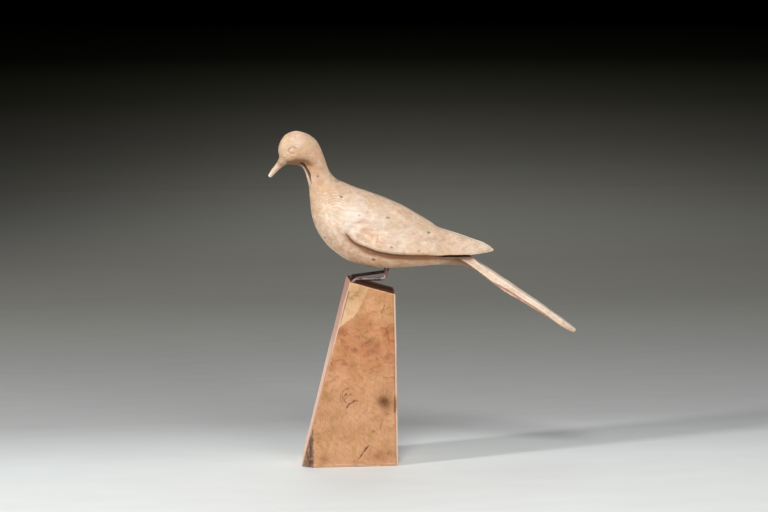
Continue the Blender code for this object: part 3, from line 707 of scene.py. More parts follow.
# The carver's side pattern. Each rib runs from a point on the upper outline to a point on the
# lower one: upper x, z; lower x, z; half width; where the rib is widest and where the wing's
# lower rim crosses it, both as parts of the way down.
RIBS = np.array((
    (-91.9, 339.2, -88.9, 336.6, 1.8, 0.50, 0.70),
    (-88.4, 345.2, -84.2, 341.0, 2.7, 0.50, 0.70),
    (-84.0, 350.9, -79.3, 345.7, 3.3, 0.50, 0.70),
    (-80.6, 356.2, -75.0, 349.2, 4.6, 0.50, 0.70),
    (-79.2, 361.0, -71.6, 351.2, 8.2, 0.50, 0.70),
    (-80.2, 367.3, -68.2, 351.5, 12.2, 0.50, 0.70),
    (-78.2, 376.6, -64.5, 351.0, 15.4, 0.50, 0.70),
    (-72.2, 385.2, -61.5, 350.8, 17.2, 0.50, 0.70),
    (-61.0, 389.9, -58.4, 350.6, 17.8, 0.50, 0.70),
    (-49.3, 387.9, -55.4, 349.7, 17.4, 0.48, 0.70),
    (-40.4, 382.5, -52.9, 348.3, 16.4, 0.44, 0.70),
    (-32.9, 373.2, -51.2, 346.2, 14.9, 0.42, 0.70),
    (-28.4, 363.0, -49.9, 343.3, 13.7, 0.44, 0.70),
    (-25.3, 353.6, -48.5, 339.7, 13.4, 0.47, 0.70),
    (-21.2, 343.4, -46.9, 334.4, 14.6, 0.50, 0.70),
    (-14.5, 335.6, -45.4, 326.2, 17.6, 0.50, 0.70),
    (-3.5, 329.4, -44.4, 313.5, 22.8, 0.50, 0.70),
    (9.0, 324.6, -42.8, 298.7, 28.6, 0.50, 0.70),
    (20.0, 320.6, -39.9, 285.0, 33.0, 0.50, 0.70),
    (30.0, 316.9, -34.1, 271.2, 36.3, 0.50, 0.70),
    (40.0, 313.2, -23.3, 256.6, 38.4, 0.50, 0.70),
    (50.0, 309.1, -5.4, 242.5, 39.4, 0.51, 0.72),
    (60.0, 304.4, 15.2, 233.8, 39.6, 0.54, 0.71),
    (71.0, 298.5, 36.0, 229.9, 39.0, 0.57, 0.70),
    (84.1, 291.1, 60.0, 230.2, 37.4, 0.61, 0.695),
    (96.0, 283.4, 84.0, 232.0, 34.6, 0.64, 0.690),
    (106.0, 276.9, 102.0, 232.9, 31.4, 0.63, 0.665),
    (116.0, 272.8, 116.0, 232.5, 28.0, 0.60, 0.630),
    (126.0, 269.4, 126.0, 231.6, 24.8, 0.56, 0.595),
    (134.0, 266.6, 134.0, 230.2, 22.4, 0.515, 0.548),
    (141.0, 264.1, 141.0, 227.8, 20.3, 0.46, 0.492),
))

# Behind the legs the wings part from the rump: rib number; how far each wing's crest stands
# from the middle, and above the valley; where the slot under the wing ends; the rump's half
# width; its upper and lower edges, as parts of the way down; the half width under the lower
RUMP = np.array((
    (25.0, 5.0, 0.5, 31.4, 31.0, 0.730, 0.800, 29.5),
    (26.0, 6.2, 1.0, 26.0, 27.0, 0.712, 0.760, 25.8),
    (27.0, 7.2, 3.4, 19.5, 23.2, 0.684, 0.735, 21.6),
    (28.0, 8.2, 7.0, 12.3, 20.0, 0.652, 0.710, 17.0),
    (29.0, 8.8, 9.8, 5.8, 17.8, 0.606, 0.785, 13.8),
    (30.0, 9.2, 12.3, 0.0, 16.4, 0.556, 0.845, 12.4),
))

# The tail: upper x, z; lower x, z; half width; the plank's upper and lower edges, as parts of
# the way down; and the half width under the lower edge
TAIL = np.array((
    (141.0, 245.6, 141.0, 227.8, 16.4, 0.050, 0.685, 12.4),
    (151.0, 237.9, 148.0, 224.4, 16.0, 0.120, 0.76, 12.0),
    (165.0, 228.2, 159.0, 217.6, 15.8, 0.150, 0.84, 12.6),
    (180.0, 218.2, 172.5, 207.0, 15.8, 0.160, 0.86, 15.0),
    (217.1, 192.7, 209.5, 183.9, 16.2, 0.160, 0.86, 15.6),
    (241.7, 175.5, 235.6, 168.0, 14.2, 0.160, 0.86, 13.6),
    (264.0, 158.8, 259.6, 152.4, 9.4, 0.180, 0.84, 8.8),
    (269.8, 154.0, 266.6, 149.2, 5.8, 0.200, 0.80, 5.0),
))
TAIL_END = (271.4, 0.0, 150.6)

# One wing's free end, on upright ribs: x; crest y, z; rim y, z; and the inner edge's y
WING_TIP = np.array((
    (141.0, 9.2, 264.1, 20.3, 246.3, 0.0),
    (148.0, 9.5, 261.5, 18.2, 246.6, 0.0),
    (155.0, 9.4, 258.9, 16.0, 247.2, 3.6),
    (162.0, 9.2, 255.9, 13.4, 248.0, 5.8),
    (167.0, 8.9, 253.0, 11.2, 248.9, 7.2),
))
WING_END = (169.8, 8.8, 250.2)
LAST_RIB_X = 168.8
BILL_END = (-91.5, 0.0, 337.0)

# Ribs between those of the pattern, and faces in each stretch of a half rib
RIB_STEPS = [6] * 4 + [14] * 9 + [9] * 6 + [11] * 6 + [9] * 5
TAIL_RIBS, WING_END_RIBS = 120, 28
CREST_FACES, WING_FACES, SLOT_FACES = 6, 60, 3
LOWER_SPANS = (8, 10, 4, 18)
RIM = CREST_FACES + WING_FACES
NOTCH = RIM + SLOT_FACES


def along_spans(spans):
    """For each column: its span, and the part of the span that lies before it."""
    span = np.concatenate([np.full(faces, i) for i, faces in enumerate(spans)] + [[0]])
    part = np.concatenate([np.arange(faces) / faces for faces in spans] + [[1.0]])
    span[-1] = len(spans) - 1
    return span, part


def between(keys, spans):
    """Straight lines between the keys of each rib, at every column."""
    span, part = along_spans(spans)
    low, high = keys[:, span], keys[:, span + 1]
    part = part.reshape((1, -1) + (1,) * (keys.ndim - 2))
    return low + (high - low) * part


def curve_through(stations, values, span, part):
    """Smooth curves through given values, at parts of the way along their spans.

    Between two stations it is a cubic whose slope at each end is the mean of the slopes on
    both sides, weighted by the other side's length.
    """
    run = np.diff(stations, axis=-1)[..., None]
    slope = np.diff(values, axis=-2) / run
    before, after = run[..., :-1, :], run[..., 1:, :]
    inner = (slope[..., :-1, :] * after + slope[..., 1:, :] * before) / (before + after)
    tangent = np.concatenate((slope[..., :1, :], inner, slope[..., -1:, :]), axis=-2)
    t, run = part[:, None], run[..., span, :]
    return (
        values[..., span, :] * (2 * t**3 - 3 * t**2 + 1)
        + tangent[..., span, :] * run * (t**3 - 2 * t**2 + t)
        + values[..., span + 1, :] * (3 * t**2 - 2 * t**3)
        + tangent[..., span + 1, :] * run * (t**3 - t**2)
    )


def row_at(stations, values, at):
    """The same curve, at places given in the stations' own measure."""
    span = np.clip(np.searchsorted(stations, at, side="right") - 1, 0, len(stations) - 2)
    part = (at - stations[span]) / np.diff(stations)[span]
    return curve_through(stations, values, span, part)


def under_slot(depth, notch, half, upper, lower, under, sharpness):
    """The rump or tail below the slot: how far out, and the part of the way down its depth.

    A line from the slot's end over the plank's upper and lower edges, then under them to the
    keel in the middle. It is smooth where sharpness is 0, and has plain corners at 1.
    """
    zero = np.zeros_like(half)
    slope = 1 - SHOULDER_SLOPE * sharpness
    out = np.stack((notch[0], half * slope, half, under, zero), axis=1)
    down = np.stack((notch[1], upper, lower, lower + KEEL_STEP, zero + 1), axis=1)
    keys = np.stack((out, down * depth[:, None]), axis=-1)
    beyond = np.concatenate((keys, keys[:, -2:-1] * (-1, 1)), axis=1)
    steps = np.linalg.norm(np.diff(beyond, axis=1), axis=2)
    stations = np.concatenate((zero[:, None], np.cumsum(steps, axis=1)), axis=1)
    smooth = curve_through(stations, beyond, *along_spans(LOWER_SPANS))
    straight = between(keys, LOWER_SPANS)
    line = smooth + (straight - smooth) * (sharpness * MOST_SHARP)[:, None, None]
    return line[..., 0], line[..., 1] / depth[:, None]


def wing_curve(faces):
    """A quarter of a wing's rounded section: how far out, then how much of its height is left."""
    turn = np.linspace(0.0, math.pi / 2, faces + 1)[1:]
    return np.sin(turn) ** (2 / WING_FULLNESS), np.cos(turn) ** (2 / WING_FULLNESS)


def rear_ribs(length, half, rim, rear, crispness):
    """Ribs with two wing crests over a valley, the slot, and the rump below it."""
    crest, drop, notch, rump_half, upper, lower, under = rear.T[:, :, None]
    length, half, rim = length[:, None], half[:, None], rim[:, None]
    step = np.arange(CREST_FACES + 1) / CREST_FACES
    across, height = wing_curve(WING_FACES)
    fall = (np.arange(SLOT_FACES) + 1) / SLOT_FACES
    down_slot = rim + (SLOT_FALL / length) * fall
    out_low, down_low = under_slot(length[:, 0], (notch[:, 0], down_slot[:, -1]),
                                   rump_half[:, 0], upper[:, 0], lower[:, 0], under[:, 0],
                                   crispness)
    down = np.concatenate((drop / length * (1 - step ** VALLEY_CURVE), rim * (1 - height),
                           down_slot, down_low[:, 1:]), axis=1)
    out = np.concatenate((crest * step, crest + (half - crest) * across,
                          half + (notch - half) * fall, out_low[:, 1:]), axis=1)
    return down, out


def between_outlines(top, keel, down, out):
    """Points from how far down each rib and how far out from the middle they are."""
    point = top[:, None] + down[..., None] * (keel - top)[:, None]
    return np.stack((point[..., 0], out, point[..., 1]), axis=-1)


def body_half():
    """Half ribs from the bill to the place where the slot meets in the middle.

    Each is half an egg: the power of a sine goes out and the power of a cosine down. The wing
    stands out above its rim and the flank is cut back below it, and further back the rib turns
    into one with wing crests, slot and rump.
    """
    place = np.concatenate(([0.0], np.cumsum(
        np.linalg.norm(np.diff(RIBS[:, 0:2], axis=0), axis=1)
        + np.linalg.norm(np.diff(RIBS[:, 2:4], axis=0), axis=1))))
    index = np.concatenate([i + np.arange(count) / count for i, count in enumerate(RIB_STEPS)]
                           + [[len(RIBS) - 1]])
    data = row_at(place, RIBS, np.interp(index, np.arange(len(RIBS)), place))
    rump = row_at(RUMP[:, 0], RUMP[:, 1:], np.maximum(index, RUMP[0, 0]))
    top, keel, half, widest, rim = data[:, 0:2], data[:, 2:4], *data[:, 4:7].T
    length = np.linalg.norm(keel - top, axis=1)

    share = (rim - widest) / (1 - widest)
    last = math.pi / 2 + np.arcsin(share ** (FULLNESS / 2))
    lower = last[:, None] + (math.pi - last)[:, None] * BELOW_RIM
    keys = np.column_stack((0 * last, CREST_ANGLE + 0 * last, last, lower, math.pi + 0 * last))
    angle = between(keys, (CREST_FACES, WING_FACES, SLOT_FACES) + LOWER_SPANS)
    fall = np.abs(np.cos(angle)) ** (2 / FULLNESS)
    wide = widest[:, None]
    down = np.where(angle < math.pi / 2, wide * (1 - fall), wide + (1 - wide) * fall)
    out = half[:, None] * np.abs(np.sin(angle)) ** (2 / FULLNESS)

    bulge = ((down - FRONT_DOWN) / FRONT_SPREAD) ** 2 * FRONT_SWEEP
    wing = ease(*WING_RIBS, index[:, None] - bulge) * ease(*RELIEF_DOWN, down)
    column = np.arange(out.shape[1])
    out += WING_RELIEF * wing * (column <= RIM)
    fade = 1 - ease(0, LOWER_SPANS[0] + LOWER_SPANS[1], column - NOTCH)
    out -= WING_CUT * ease(*FLANK_RIBS, index)[:, None] * fade * (column >= NOTCH)
    part = (np.arange(SLOT_FACES + 1) / SLOT_FACES)
    for line in (down, out):
        line[:, RIM:NOTCH + 1] = line[:, RIM:RIM + 1] + (
            line[:, NOTCH:NOTCH + 1] - line[:, RIM:RIM + 1]) * part

    rear_down, rear_out = rear_ribs(length, half, rim, rump, ease(*CRISP_RIBS, index))
    share = ease(*REAR_RIBS, index)[:, None]
    down, out = down + (rear_down - down) * share, out + (rear_out - out) * share
    out[:, 0] = out[:, -1] = 0.0
    out[-1, NOTCH] = 0.0
    return between_outlines(top, keel, down, out)


def tail_half():
    """Half ribs of the tail, from the slot's end to the blunt tip, where they close."""
    place = np.concatenate(([0.0], np.cumsum(
        np.linalg.norm(np.diff(TAIL[:, 0:2], axis=0), axis=1))))
    data = row_at(place, TAIL, np.linspace(0, place[-1], TAIL_RIBS + 1)[1:])
    top, keel, half, upper, lower, under = data[:, 0:2], data[:, 2:4], *data[:, 4:8].T
    depth = np.linalg.norm(keel - top, axis=1)
    out, down = under_slot(depth, (0 * half, 0 * half), half, upper, lower, under, half ** 0)
    return between_outlines(top, keel, down, out)


def wing_end_half():
    """Ribs of one wing's free end.

    The valley between the wings sinks to their underside, and from there they are parted: each
    one's inner edge then moves out to its tip.
    """
    fork, parting = WING_TIP[0, 0], WING_TIP[1, 0]
    x = np.concatenate((np.linspace(fork, parting, 7)[1:-1],
                        np.linspace(parting, LAST_RIB_X, WING_END_RIBS)))[:, None]
    crest_y, crest_z, rim_y, rim_z, inner = row_at(
        WING_TIP[:, 0], WING_TIP[:, 1:], x[:, 0]).T[:, :, None]
    inner = np.where(x > parting, np.maximum(inner, 0), 0)
    floor = rim_z + TIP_THICKNESS
    start = crest_z - RUMP[-1, 2]
    valley = start + (floor - start) * np.clip((x - fork) / (parting - fork), 0, 1)
    step = np.arange(CREST_FACES + 1) / CREST_FACES
    across, height = wing_curve(WING_FACES)
    back = (np.arange(SLOT_FACES) + 1) / SLOT_FACES
    y = np.concatenate((inner + (crest_y - inner) * step,
                        crest_y + (rim_y - crest_y) * across,
                        rim_y + (inner - rim_y) * back), axis=1)
    z = np.concatenate((valley + (crest_z - valley) * step ** VALLEY_CURVE,
                        rim_z + (crest_z - rim_z) * height,
                        rim_z + (floor - rim_z) * back), axis=1)
    return np.stack((x + 0 * y, y, z), axis=-1)


def pole(grid, tip, first=False):
    """The grid with one more row, all of it at the tip, so that it closes there."""
    row = np.broadcast_to(np.array(tip, float), grid[:1].shape)
    return np.concatenate((row, grid) if first else (grid, row))


body = body_half()
halves = (
    pole(body, BILL_END, first=True),
    pole(np.concatenate((body[-1:, NOTCH:], tail_half())), TAIL_END),
    pole(np.concatenate((body[-1:, :NOTCH + 1], wing_end_half())), WING_END),
)
mirrored = [half[:, ::-1] * (1, -1, 1) for half in halves]
pigeon = new_piece("carved_pigeon", *halves, *mirrored)
mesh = pigeon.data

# What the knife and the years have left: lines on both sides as x, out and z, and marks on the
# left side as points on the surface with a size
EYE = (-64.0, 369.0)
EYE_RADIUS = 3.7
RING_DEPTH, MOUTH_DEPTH, JAW_DEPTH, THROAT_DEPTH = 0.36, 0.4, 0.5, 0.9
GROOVE_DEPTH, BAND_DEPTH, PIT_DEPTH, FRONT_DEPTH = 0.8, 0.14, 0.8, 0.4
ROLL_DEPTH, CUT_DEPTH, SLOT_DEPTH = 1.1, 2.4, 0.9
MOUTH = ((-72, 12, 357), (-76.8, 4.5, 350.9), (-82.5, 3, 344.6), (-88, 2.2, 339.3))
NOSTRIL = (-72.9, 13.6, 360.6)
JAW = ((-60, 14.2, 357.6), (-52.2, 13.8, 356), (-47.5, 13.9, 354.8), (-43, 14, 351))
THROAT = ((-54, 9.5, 352.5), (-51.2, 7.6, 349.6), (-48.4, 7.4, 345.5), (-46.3, 7.8, 341.5),
          (-44.8, 8.8, 336), (-43.4, 10.4, 330))
TAIL_GROOVE = ((165.7, 15.8, 214.6), (185.6, 15.6, 203.2), (212.2, 15.9, 185.8),
               (239, 14, 167.9))
PITS = (
    (-9.7, -27, 316.3, 1.2, 1), (42.2, -33, 292.5, 1, 0.9), (44.4, -32.5, 291.9, 1, 0.9),
    (9.7, -36.6, 295.7, 0.9, 0.35), (91.5, -26.4, 273.9, 1.7, 0.6),
    (46.4, -41.5, 259.2, 1.1, 0.8), (53.4, -40.5, 265.3, 1, 0.35),
    (78.5, -38.6, 253.7, 1.2, 0.45), (-27.9, -16.5, 268.2, 1, 0.9),
    (-35.7, -14.4, 338.8, 1.4, 0.6), (27, -29.4, 243.2, 1.7, 1), (-24.2, -19.5, 262.5, 0.8, 0.6),
    (60.5, -31, 287, 0.8, 0.3),
)
WARM = (
    (57, -21.5, 298.6, 7, 0.9), (66, -19, 294.8, 6, 0.7), (85.1, -21.3, 283.1, 6, 0.8),
    (2, -20, 321.2, 5, 0.7), (24, -40.8, 271, 8, 0.9), (33, -41.4, 266, 7, 0.8),
    (14, -39, 276, 6, 0.6), (-58, -17, 361, 7, 0.5), (30, -24, 309, 9, 0.5),
    (100, -24, 268, 8, 0.4), (-5, -33, 256, 10, 0.5), (-42, -15, 362, 8, 0.6),
    (-40, -15, 347, 6, 0.6), (-34, -16, 334, 5, 0.5), (60, -31, 238, 14, 0.6),
    (90, -27, 238, 12, 0.6), (-52, -17, 372, 7, 0.4), (0, -32, 250, 15, 0.6),
    (30, -33, 240, 16, 0.6), (-14, -31, 262, 11, 0.4),
)
# Brown marks down the neck from the jaw and behind the throat: partly patina, partly painted
# shade.
PATINA_AND_SHADE = (
    (-42, -14, 352, 7, 0.35), (-38.5, -14.5, 342, 6, 0.4), (-34, -16, 333, 6, 0.3),
    (-30, -14, 345, 5, 0.25), (-50, -15, 357, 7, 0.25), (-38, -15, 322, 5, 0.2),
    (-66, -8, 386, 6, 0.15), (-36, -15, 346, 5, 0.3), (-45.5, -10, 347, 5.5, 0.45),
    (-42.5, -11, 341, 4.5, 0.4),
)
PALE = (
    (3, -35.5, 296, 15, 1), (-1, -37, 284, 8, 1), (30, -38, 288, 14, 0.5),
    (-20, -32, 290, 12, 0.4), (-58, -16, 378, 6, 0.3), (10, -30, 306, 9, 0.5),
    (60, -35, 268, 9, 0.4),
)
WING_LINE = ((-4.6, -36.7, 286), (3.7, -38, 278), (18, -40, 273.5),
             (30.6, -41.8, 266.9))
WING_EDGE = ((-5, 292), (-6.2, 286), (-5.8, 280), (-4.2, 275.7), (-1.8, 271.9),
             (1, 267.8), (4.2, 264.6), (8.4, 261.9), (13, 259.7), (21.3, 256.8),
             (28.5, 254), (36, 252.2), (47, 250.4), (67, 248.7), (88, 247.8),
             (103, 247.5), (116, 247.3), (126, 246.8), (134, 246.6), (141, 246.1))
RIM_OUT = (
    (88, 34), (103, 31.4), (116, 28), (126, 24.8), (134, 22.4), (141, 20.3),
)
WING_CHECK = ((30.6, -41, 274), (30.4, -41.8, 265.5))
WING_FRONT = ((-3.8, 273.5), (-3, 279), (0.2, 284.2), (6.5, 287.6), (15, 288.6),
              (26, 287.2), (38, 283.5))


def off_line(points, line):
    """How far each point is from a broken line, and less than 0 on the left of its course."""
    line = np.array(line, float)
    best = np.full(len(points), 1e9)
    for start, end in zip(line[:-1], line[1:]):
        along = end - start
        t = np.clip((points - start) @ along / (along @ along), 0, 1)
        gap = points - start - t[:, None] * along
        far = np.linalg.norm(gap, axis=1)
        side = np.where(gap @ (along[1], -along[0]) < 0, -1, 1)
        best = np.where(far < np.abs(best), far * side, best)
    return best


points, normals = read_points(mesh), read_points(mesh, normals=True)
x, y, z = points.T
folded = np.column_stack((x, np.abs(y), z))
left = ease(0, 6, -y)

eye_x, eye_z = (x - EYE[0]) / 1.3, z - EYE[1]
eye_gap = np.hypot(eye_x, eye_z)
at_eye = (np.abs(y) > 10) * (x < -40)
behind_eye = ease(0.2, 1.0, np.cos(np.arctan2(eye_z, eye_x) + 0.25))
eye_ring = bell(eye_gap - EYE_RADIUS, 0.8) * (1 - behind_eye) * at_eye
eye_ring *= np.clip(0.7 + 0.5 * waves(points, 4, 35), 0.2, 1)
eye_lid = bell(eye_gap - EYE_RADIUS - 1.6, 1.2) * ease(0.0, -3.5, eye_z) * at_eye
eye_lid *= ease(4.5, 1.0, eye_x)
button = bell(eye_gap, 2.2) * at_eye
nostril_gap = np.linalg.norm(folded - NOSTRIL, axis=1)
nostril = bell(nostril_gap, 0.8)
nostril_rim = bell(nostril_gap - 1.9, 0.7)
mouth = bell(near_line(folded, MOUTH), 0.6)
jaw = bell(near_line(folded, JAW), 3.0)
# Painted shade under the head.
under_head_shade = ease(360, 354.6, z) * ease(-74, -69, x) * ease(-40, -53, x) * ease(349, 351.5, z)
wide = 1.4 + 1.5 * ease(331, 342, z)
throat = bell((near_line(folded, THROAT) / wide) ** 2, 1.0) * ease(-36, -42, x)
throat *= ease(326, 336, z)
tail_groove = bell(near_line(folded, TAIL_GROOVE), 0.9) * ease(221, 212, z)
tail_groove *= ease(245, 226, x) * ease(165, 178, x)
arch = z + (x + 18) ** 2 / 42 + 1.4 * waves(points, 16, 31)
neck_base = bell(np.hypot((x + 17) / 15, (z - 312) / 15), 1.0) * left
bands = neck_base * (0.5 + 0.5 * np.sin(arch * 2 * math.pi / 3.3)) ** 2
pits = marks(points, PITS)
check = bell(near_line(points, WING_CHECK), 0.8)
front = bell(near_line(folded[:, [0, 2]], WING_FRONT), 2.6) * (np.abs(y) > 8)
front *= ease(38, 14, x)

# The wing's edge: the flank is cut back under it, and a slot opens behind the legs; the band under
# the edge and the slot are painted dark as shade
off_wing = off_line(folded[:, [0, 2]], WING_EDGE)
on_side = (np.abs(y) > 8) * ease(295, 286, z) * (x < 146)
cut = ease(-0.4, 1.0, off_wing) * ease(10, 0.8, off_wing) * on_side
cut *= ease(278, 265, z) * (1 - 0.75 * ease(14, 40, x))
shade = ease(-0.2, 1.0, off_wing) * on_side * ease(279, 269, z)
reach = 3.0 + 3.0 * ease(20, 45, x)
shade *= 0.4 * ease(12.0, 4.0, off_wing) + 0.6 * ease(reach + 1.5, reach - 1.5, off_wing)
under_edge_shade = bell(off_wing - 0.9, 1.0) * on_side * ease(277, 268, z) * (1 - ease(60, 95, x))
roll = ease(-5.5, 0.2, off_wing) * ease(1.2, 0.2, off_wing) * on_side * ease(278, 266, z)
roll *= 1 - ease(85, 110, x)
rim_out = np.interp(x, *np.array(RIM_OUT, float).T)
slot = (ease(-0.2, 0.5, off_wing) * ease(3.2, 2.0, off_wing) * ease(92, 112, x) * (x < 152)
        * ease(0.4, 1.6, rim_out - np.abs(y)))
figure = off_line(folded[:, [0, 2]], ((4, 277), (20, 271), (30, 266))) + 1.2 * waves(points, 9, 36)
loops = (0.5 + 0.5 * np.sin(figure * 2 * math.pi / 3.1)) ** 2
loops *= bell(np.hypot((x - 17) / 17, (z - 272) / 9), 1.0) * left

carve = 0.28 * waves(points, 34, 32) + 0.13 * waves(points, 12, 33)
carve += 0.05 * waves(points * (0.3, 1, 1), 3.2, 34)
carve *= ease(-80, -60, x) * ease(269, 240, x)
carve += 0.16 * button + 0.12 * eye_lid + 0.3 * nostril_rim - 0.5 * nostril
carve -= RING_DEPTH * eye_ring + MOUTH_DEPTH * mouth + JAW_DEPTH * jaw
carve -= THROAT_DEPTH * wide * throat + GROOVE_DEPTH * tail_groove + FRONT_DEPTH * front
carve -= BAND_DEPTH * bands + PIT_DEPTH * pits + 0.15 * check
carve -= ROLL_DEPTH * roll ** 2 + CUT_DEPTH * cut + SLOT_DEPTH * slot
move_points(mesh, points + normals * carve[:, None])
deep = hollowness(mesh, 10)
broad = hollowness(mesh, 90)
behind = ease(100, 120, x)
# Painted shade on faces that look down, strongest under the tail.
under = ease(0.1 + 0.2 * behind, -0.75 + 0.35 * behind, normals[:, 2]) * (0.25 + 1.1 * behind)
tail_top_highlight = ease(150, 170, x) * ease(0.3, 0.7, normals[:, 2])
# Hollows are darkened by dirt and painted shade; the jaw line adds painted shade.
paint(mesh, hollow=ease(0.02, 0.22, deep) + 0.9 * ease(0.15, 1.3, broad)
      + 0.4 * jaw + 0.45 * eye_ring + 0.6 * mouth + 0.5 * nostril + 0.55 * nostril_rim)
# Painted shade: the throat hollow, under the head, the band under the wing's edge, faces that look
# down, the jaw and the roll of the wing's edge, with the tail groove and brown marks on the neck.
paint(mesh, dark=0.95 * throat + under_head_shade + 0.95 * shade + 0.5 * under
      + 0.35 * tail_groove + 0.3 * jaw + 0.3 * roll + marks(points, PATINA_AND_SHADE))
# Painted shade: the black in the slot, in the throat and along the line under the wing's edge.
paint(mesh, slot=slot + 0.7 * throat + 0.3 * under_edge_shade)
paint(mesh, groove=tail_groove + 0.6 * eye_ring)
paint(mesh, edge=ease(0.03, 0.20, -deep) * (1 - 0.9 * bell(off_wing, 3) * on_side)
      + 0.3 * eye_lid)
paint(mesh, pit=pits + 0.35 * check)
paint(mesh, warm=marks(points, WARM) + 0.7 * eye_ring + 0.5 * eye_lid)
# The top of the tail is lightened as a painted highlight.
paint(mesh, pale=marks(points, PALE) + 0.8 * bell(near_line(points, WING_LINE), 1.3)
      + 0.3 * tail_top_highlight + 0.4 * ease(-76, -88, x) + 0.5 * ease(-88, -91, x)
      + 0.2 * ease(160, 190, x))
paint(mesh, bands=bands + 0.9 * loops + 0.4 * front)


def bleached_wood():
    """Pale close-grained wood, warm where hands have held it, with dirt and painted shade in
    hollows and beneath.
    """
    material, tree, shader, place = new_material("bleached_wood_worn")
    shader.inputs["Specular IOR Level"].default_value = 0.35
    centred = put(tree, "VectorMath", {0: place, 1: (0, 14, 168)}, operation="SUBTRACT")
    x, y, z = put(tree, "SeparateXYZ", {0: centred.outputs[0]}).outputs
    turned = put(tree, "CombineXYZ", {0: y, 1: z, 2: x}).outputs[0]
    ring, fibre, pore = put(tree, "Group", {
        "Place": turned, "Ring Width": 4.6, "Wander": 26.0},
        node_tree=wood_figure).outputs
    worn_and_highlight, grime_and_shade, mottle = put(tree, "Group", {
        "Place": place, "Edge": mask(tree, "edge"), "Hollow": mask(tree, "hollow")},
        node_tree=wear_marks).outputs
    along = put(tree, "SeparateXYZ", {0: place}).outputs[0]
    colour = layer(tree, mottle, tint(196, 170, 144), tint(186, 154, 124))
    rosy = rise(tree, cloud(tree, place, (34, 20, 20), 3, 0.5), 0.45, 0.7)
    olive = rise(tree, cloud(tree, place, (14, 12, 9), 4, 0.8), 0.5, 0.64)
    mauve = rise(tree, cloud(tree, turned, (9, 8, 11), 4, 0.8), 0.52, 0.66)
    light_spots = rise(tree, cloud(tree, turned, (7, 7, 9), 3, 0.6), 0.54, 0.68)
    height = put(tree, "SeparateXYZ", {0: place}).outputs[2]
    belly = times(tree, rise(tree, height, 266, 240), rise(tree, along, 150, 110))
    neck = rise(tree, along, -18, -45)
    yellow = rise(tree, cloud(tree, place, (6, 9, 7), 3, 0.8), 0.5, 0.62)
    violet = rise(tree, cloud(tree, turned, (6, 7, 8), 3, 0.8), 0.54, 0.64)
    warm = times(tree, mask(tree, "warm"),
                  rise(tree, cloud(tree, place, 4.5, 3), 0.25, 0.6))
    speck = rise(tree, cloud(tree, place, 1.7, 2), 0.55, 0.7)
    colour = coats(
        tree, colour,
        (rise(tree, along, -50, 200), (222, 200, 178), 0.75), (rosy, (204, 158, 132), 0.45),
        (olive, (166, 144, 106), 0.4), (mauve, (178, 146, 138), 0.42),
        (light_spots, (220, 204, 186), 0.4), (belly, (200, 148, 98), 0.4),
        # The neck's browner tone is partly its own colour and partly painted shade.
        (neck, (176, 140, 108), 0.24),
        (times(tree, neck, yellow), (206, 176, 124), 0.5),
        (times(tree, neck, violet), (172, 138, 136), 0.55),
        ("pale", (212, 200, 188), 0.85), (warm, (198, 134, 88), 0.6),
        (ring, (158, 118, 84), 0.2), (rise(tree, fibre, 0.5, 0.8), (164, 124, 92), 0.16),
        ("bands", (150, 116, 88), 0.34), (speck, (148, 112, 84), 0.22),
        # Dirt and painted shade in the hollows; below, the dark coat is mostly painted shade, and
        # the slot coat is painted shade.
        (pore, (128, 88, 62), 0.3), (grime_and_shade, (122, 76, 44), 0.65), (worn_and_highlight, (232, 212, 192), 0.5),
        ("groove", (150, 92, 66), 0.7), ("dark", (116, 72, 40), 0.88),
        ("slot", (34, 20, 13), 0.95), ("pit", (56, 34, 24), 0.9),
    )

    grain = reckon(tree, "ADD", fibre, times(tree, ring, 0.5))
    grain = reckon(tree, "ADD", grain, times(tree, cloud(tree, place, 1.3, 3), 0.4))
    shine = stretch(tree, mottle, 0.5, 0.64)
    finish(tree, shader, colour, shine, grain, 0.10)
    return material


mesh.materials.append(bleached_wood())
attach(pigeon, "root")
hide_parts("pigeon")


# The stage: a pale floor that runs back and curves up into a sweep, darkened by painted shade.
# A small key light stands on the left, softer ones above in front, at the front right, and above
# behind. The camera stands where the photograph was taken from.

# The paper's colour, by metres along it from below the block; its darkening is painted shade
WAY = (-3.0, 5.0)
PAPER_WITH_SHADE = (
    (-0.3, 221, 223, 220), (-0.09, 217, 218, 216), (0, 211, 214, 212), (0.1, 194, 196, 195),
    (0.21, 169, 169, 168), (0.33, 162, 162, 161), (0.7, 147, 147, 144), (1.2, 133, 132, 125),
    (1.7, 133, 131, 125), (2.4, 143, 143, 136), (2.9, 154, 152, 144), (3.18, 158, 155, 147),
    (3.33, 131, 130, 121), (3.48, 102, 101, 93), (3.585, 83, 81, 75), (3.75, 51, 51, 42),
    (3.9, 16, 16, 12), (4.03, 0, 0, 0),
)


FLOOR_END, CURVE = 3200, 600


def sweep_points():
    """A flat sheet that curves up behind: straight, then a quarter circle, then straight."""
    flat = np.linspace(-3000, FLOOR_END, 32)
    turn = np.linspace(0, math.pi / 2, 16)[1:]
    back = np.concatenate((flat, FLOOR_END + CURVE * np.sin(turn), np.full(6, FLOOR_END + CURVE)))
    up = np.concatenate((0 * flat, CURVE * (1 - np.cos(turn)), np.linspace(700, 1400, 6)))
    across = np.linspace(-5000, 5000, 41)
    return np.stack((across + 0 * back[:, None], back[:, None] + 0 * across,
                     up[:, None] + 0 * across), axis=-1)


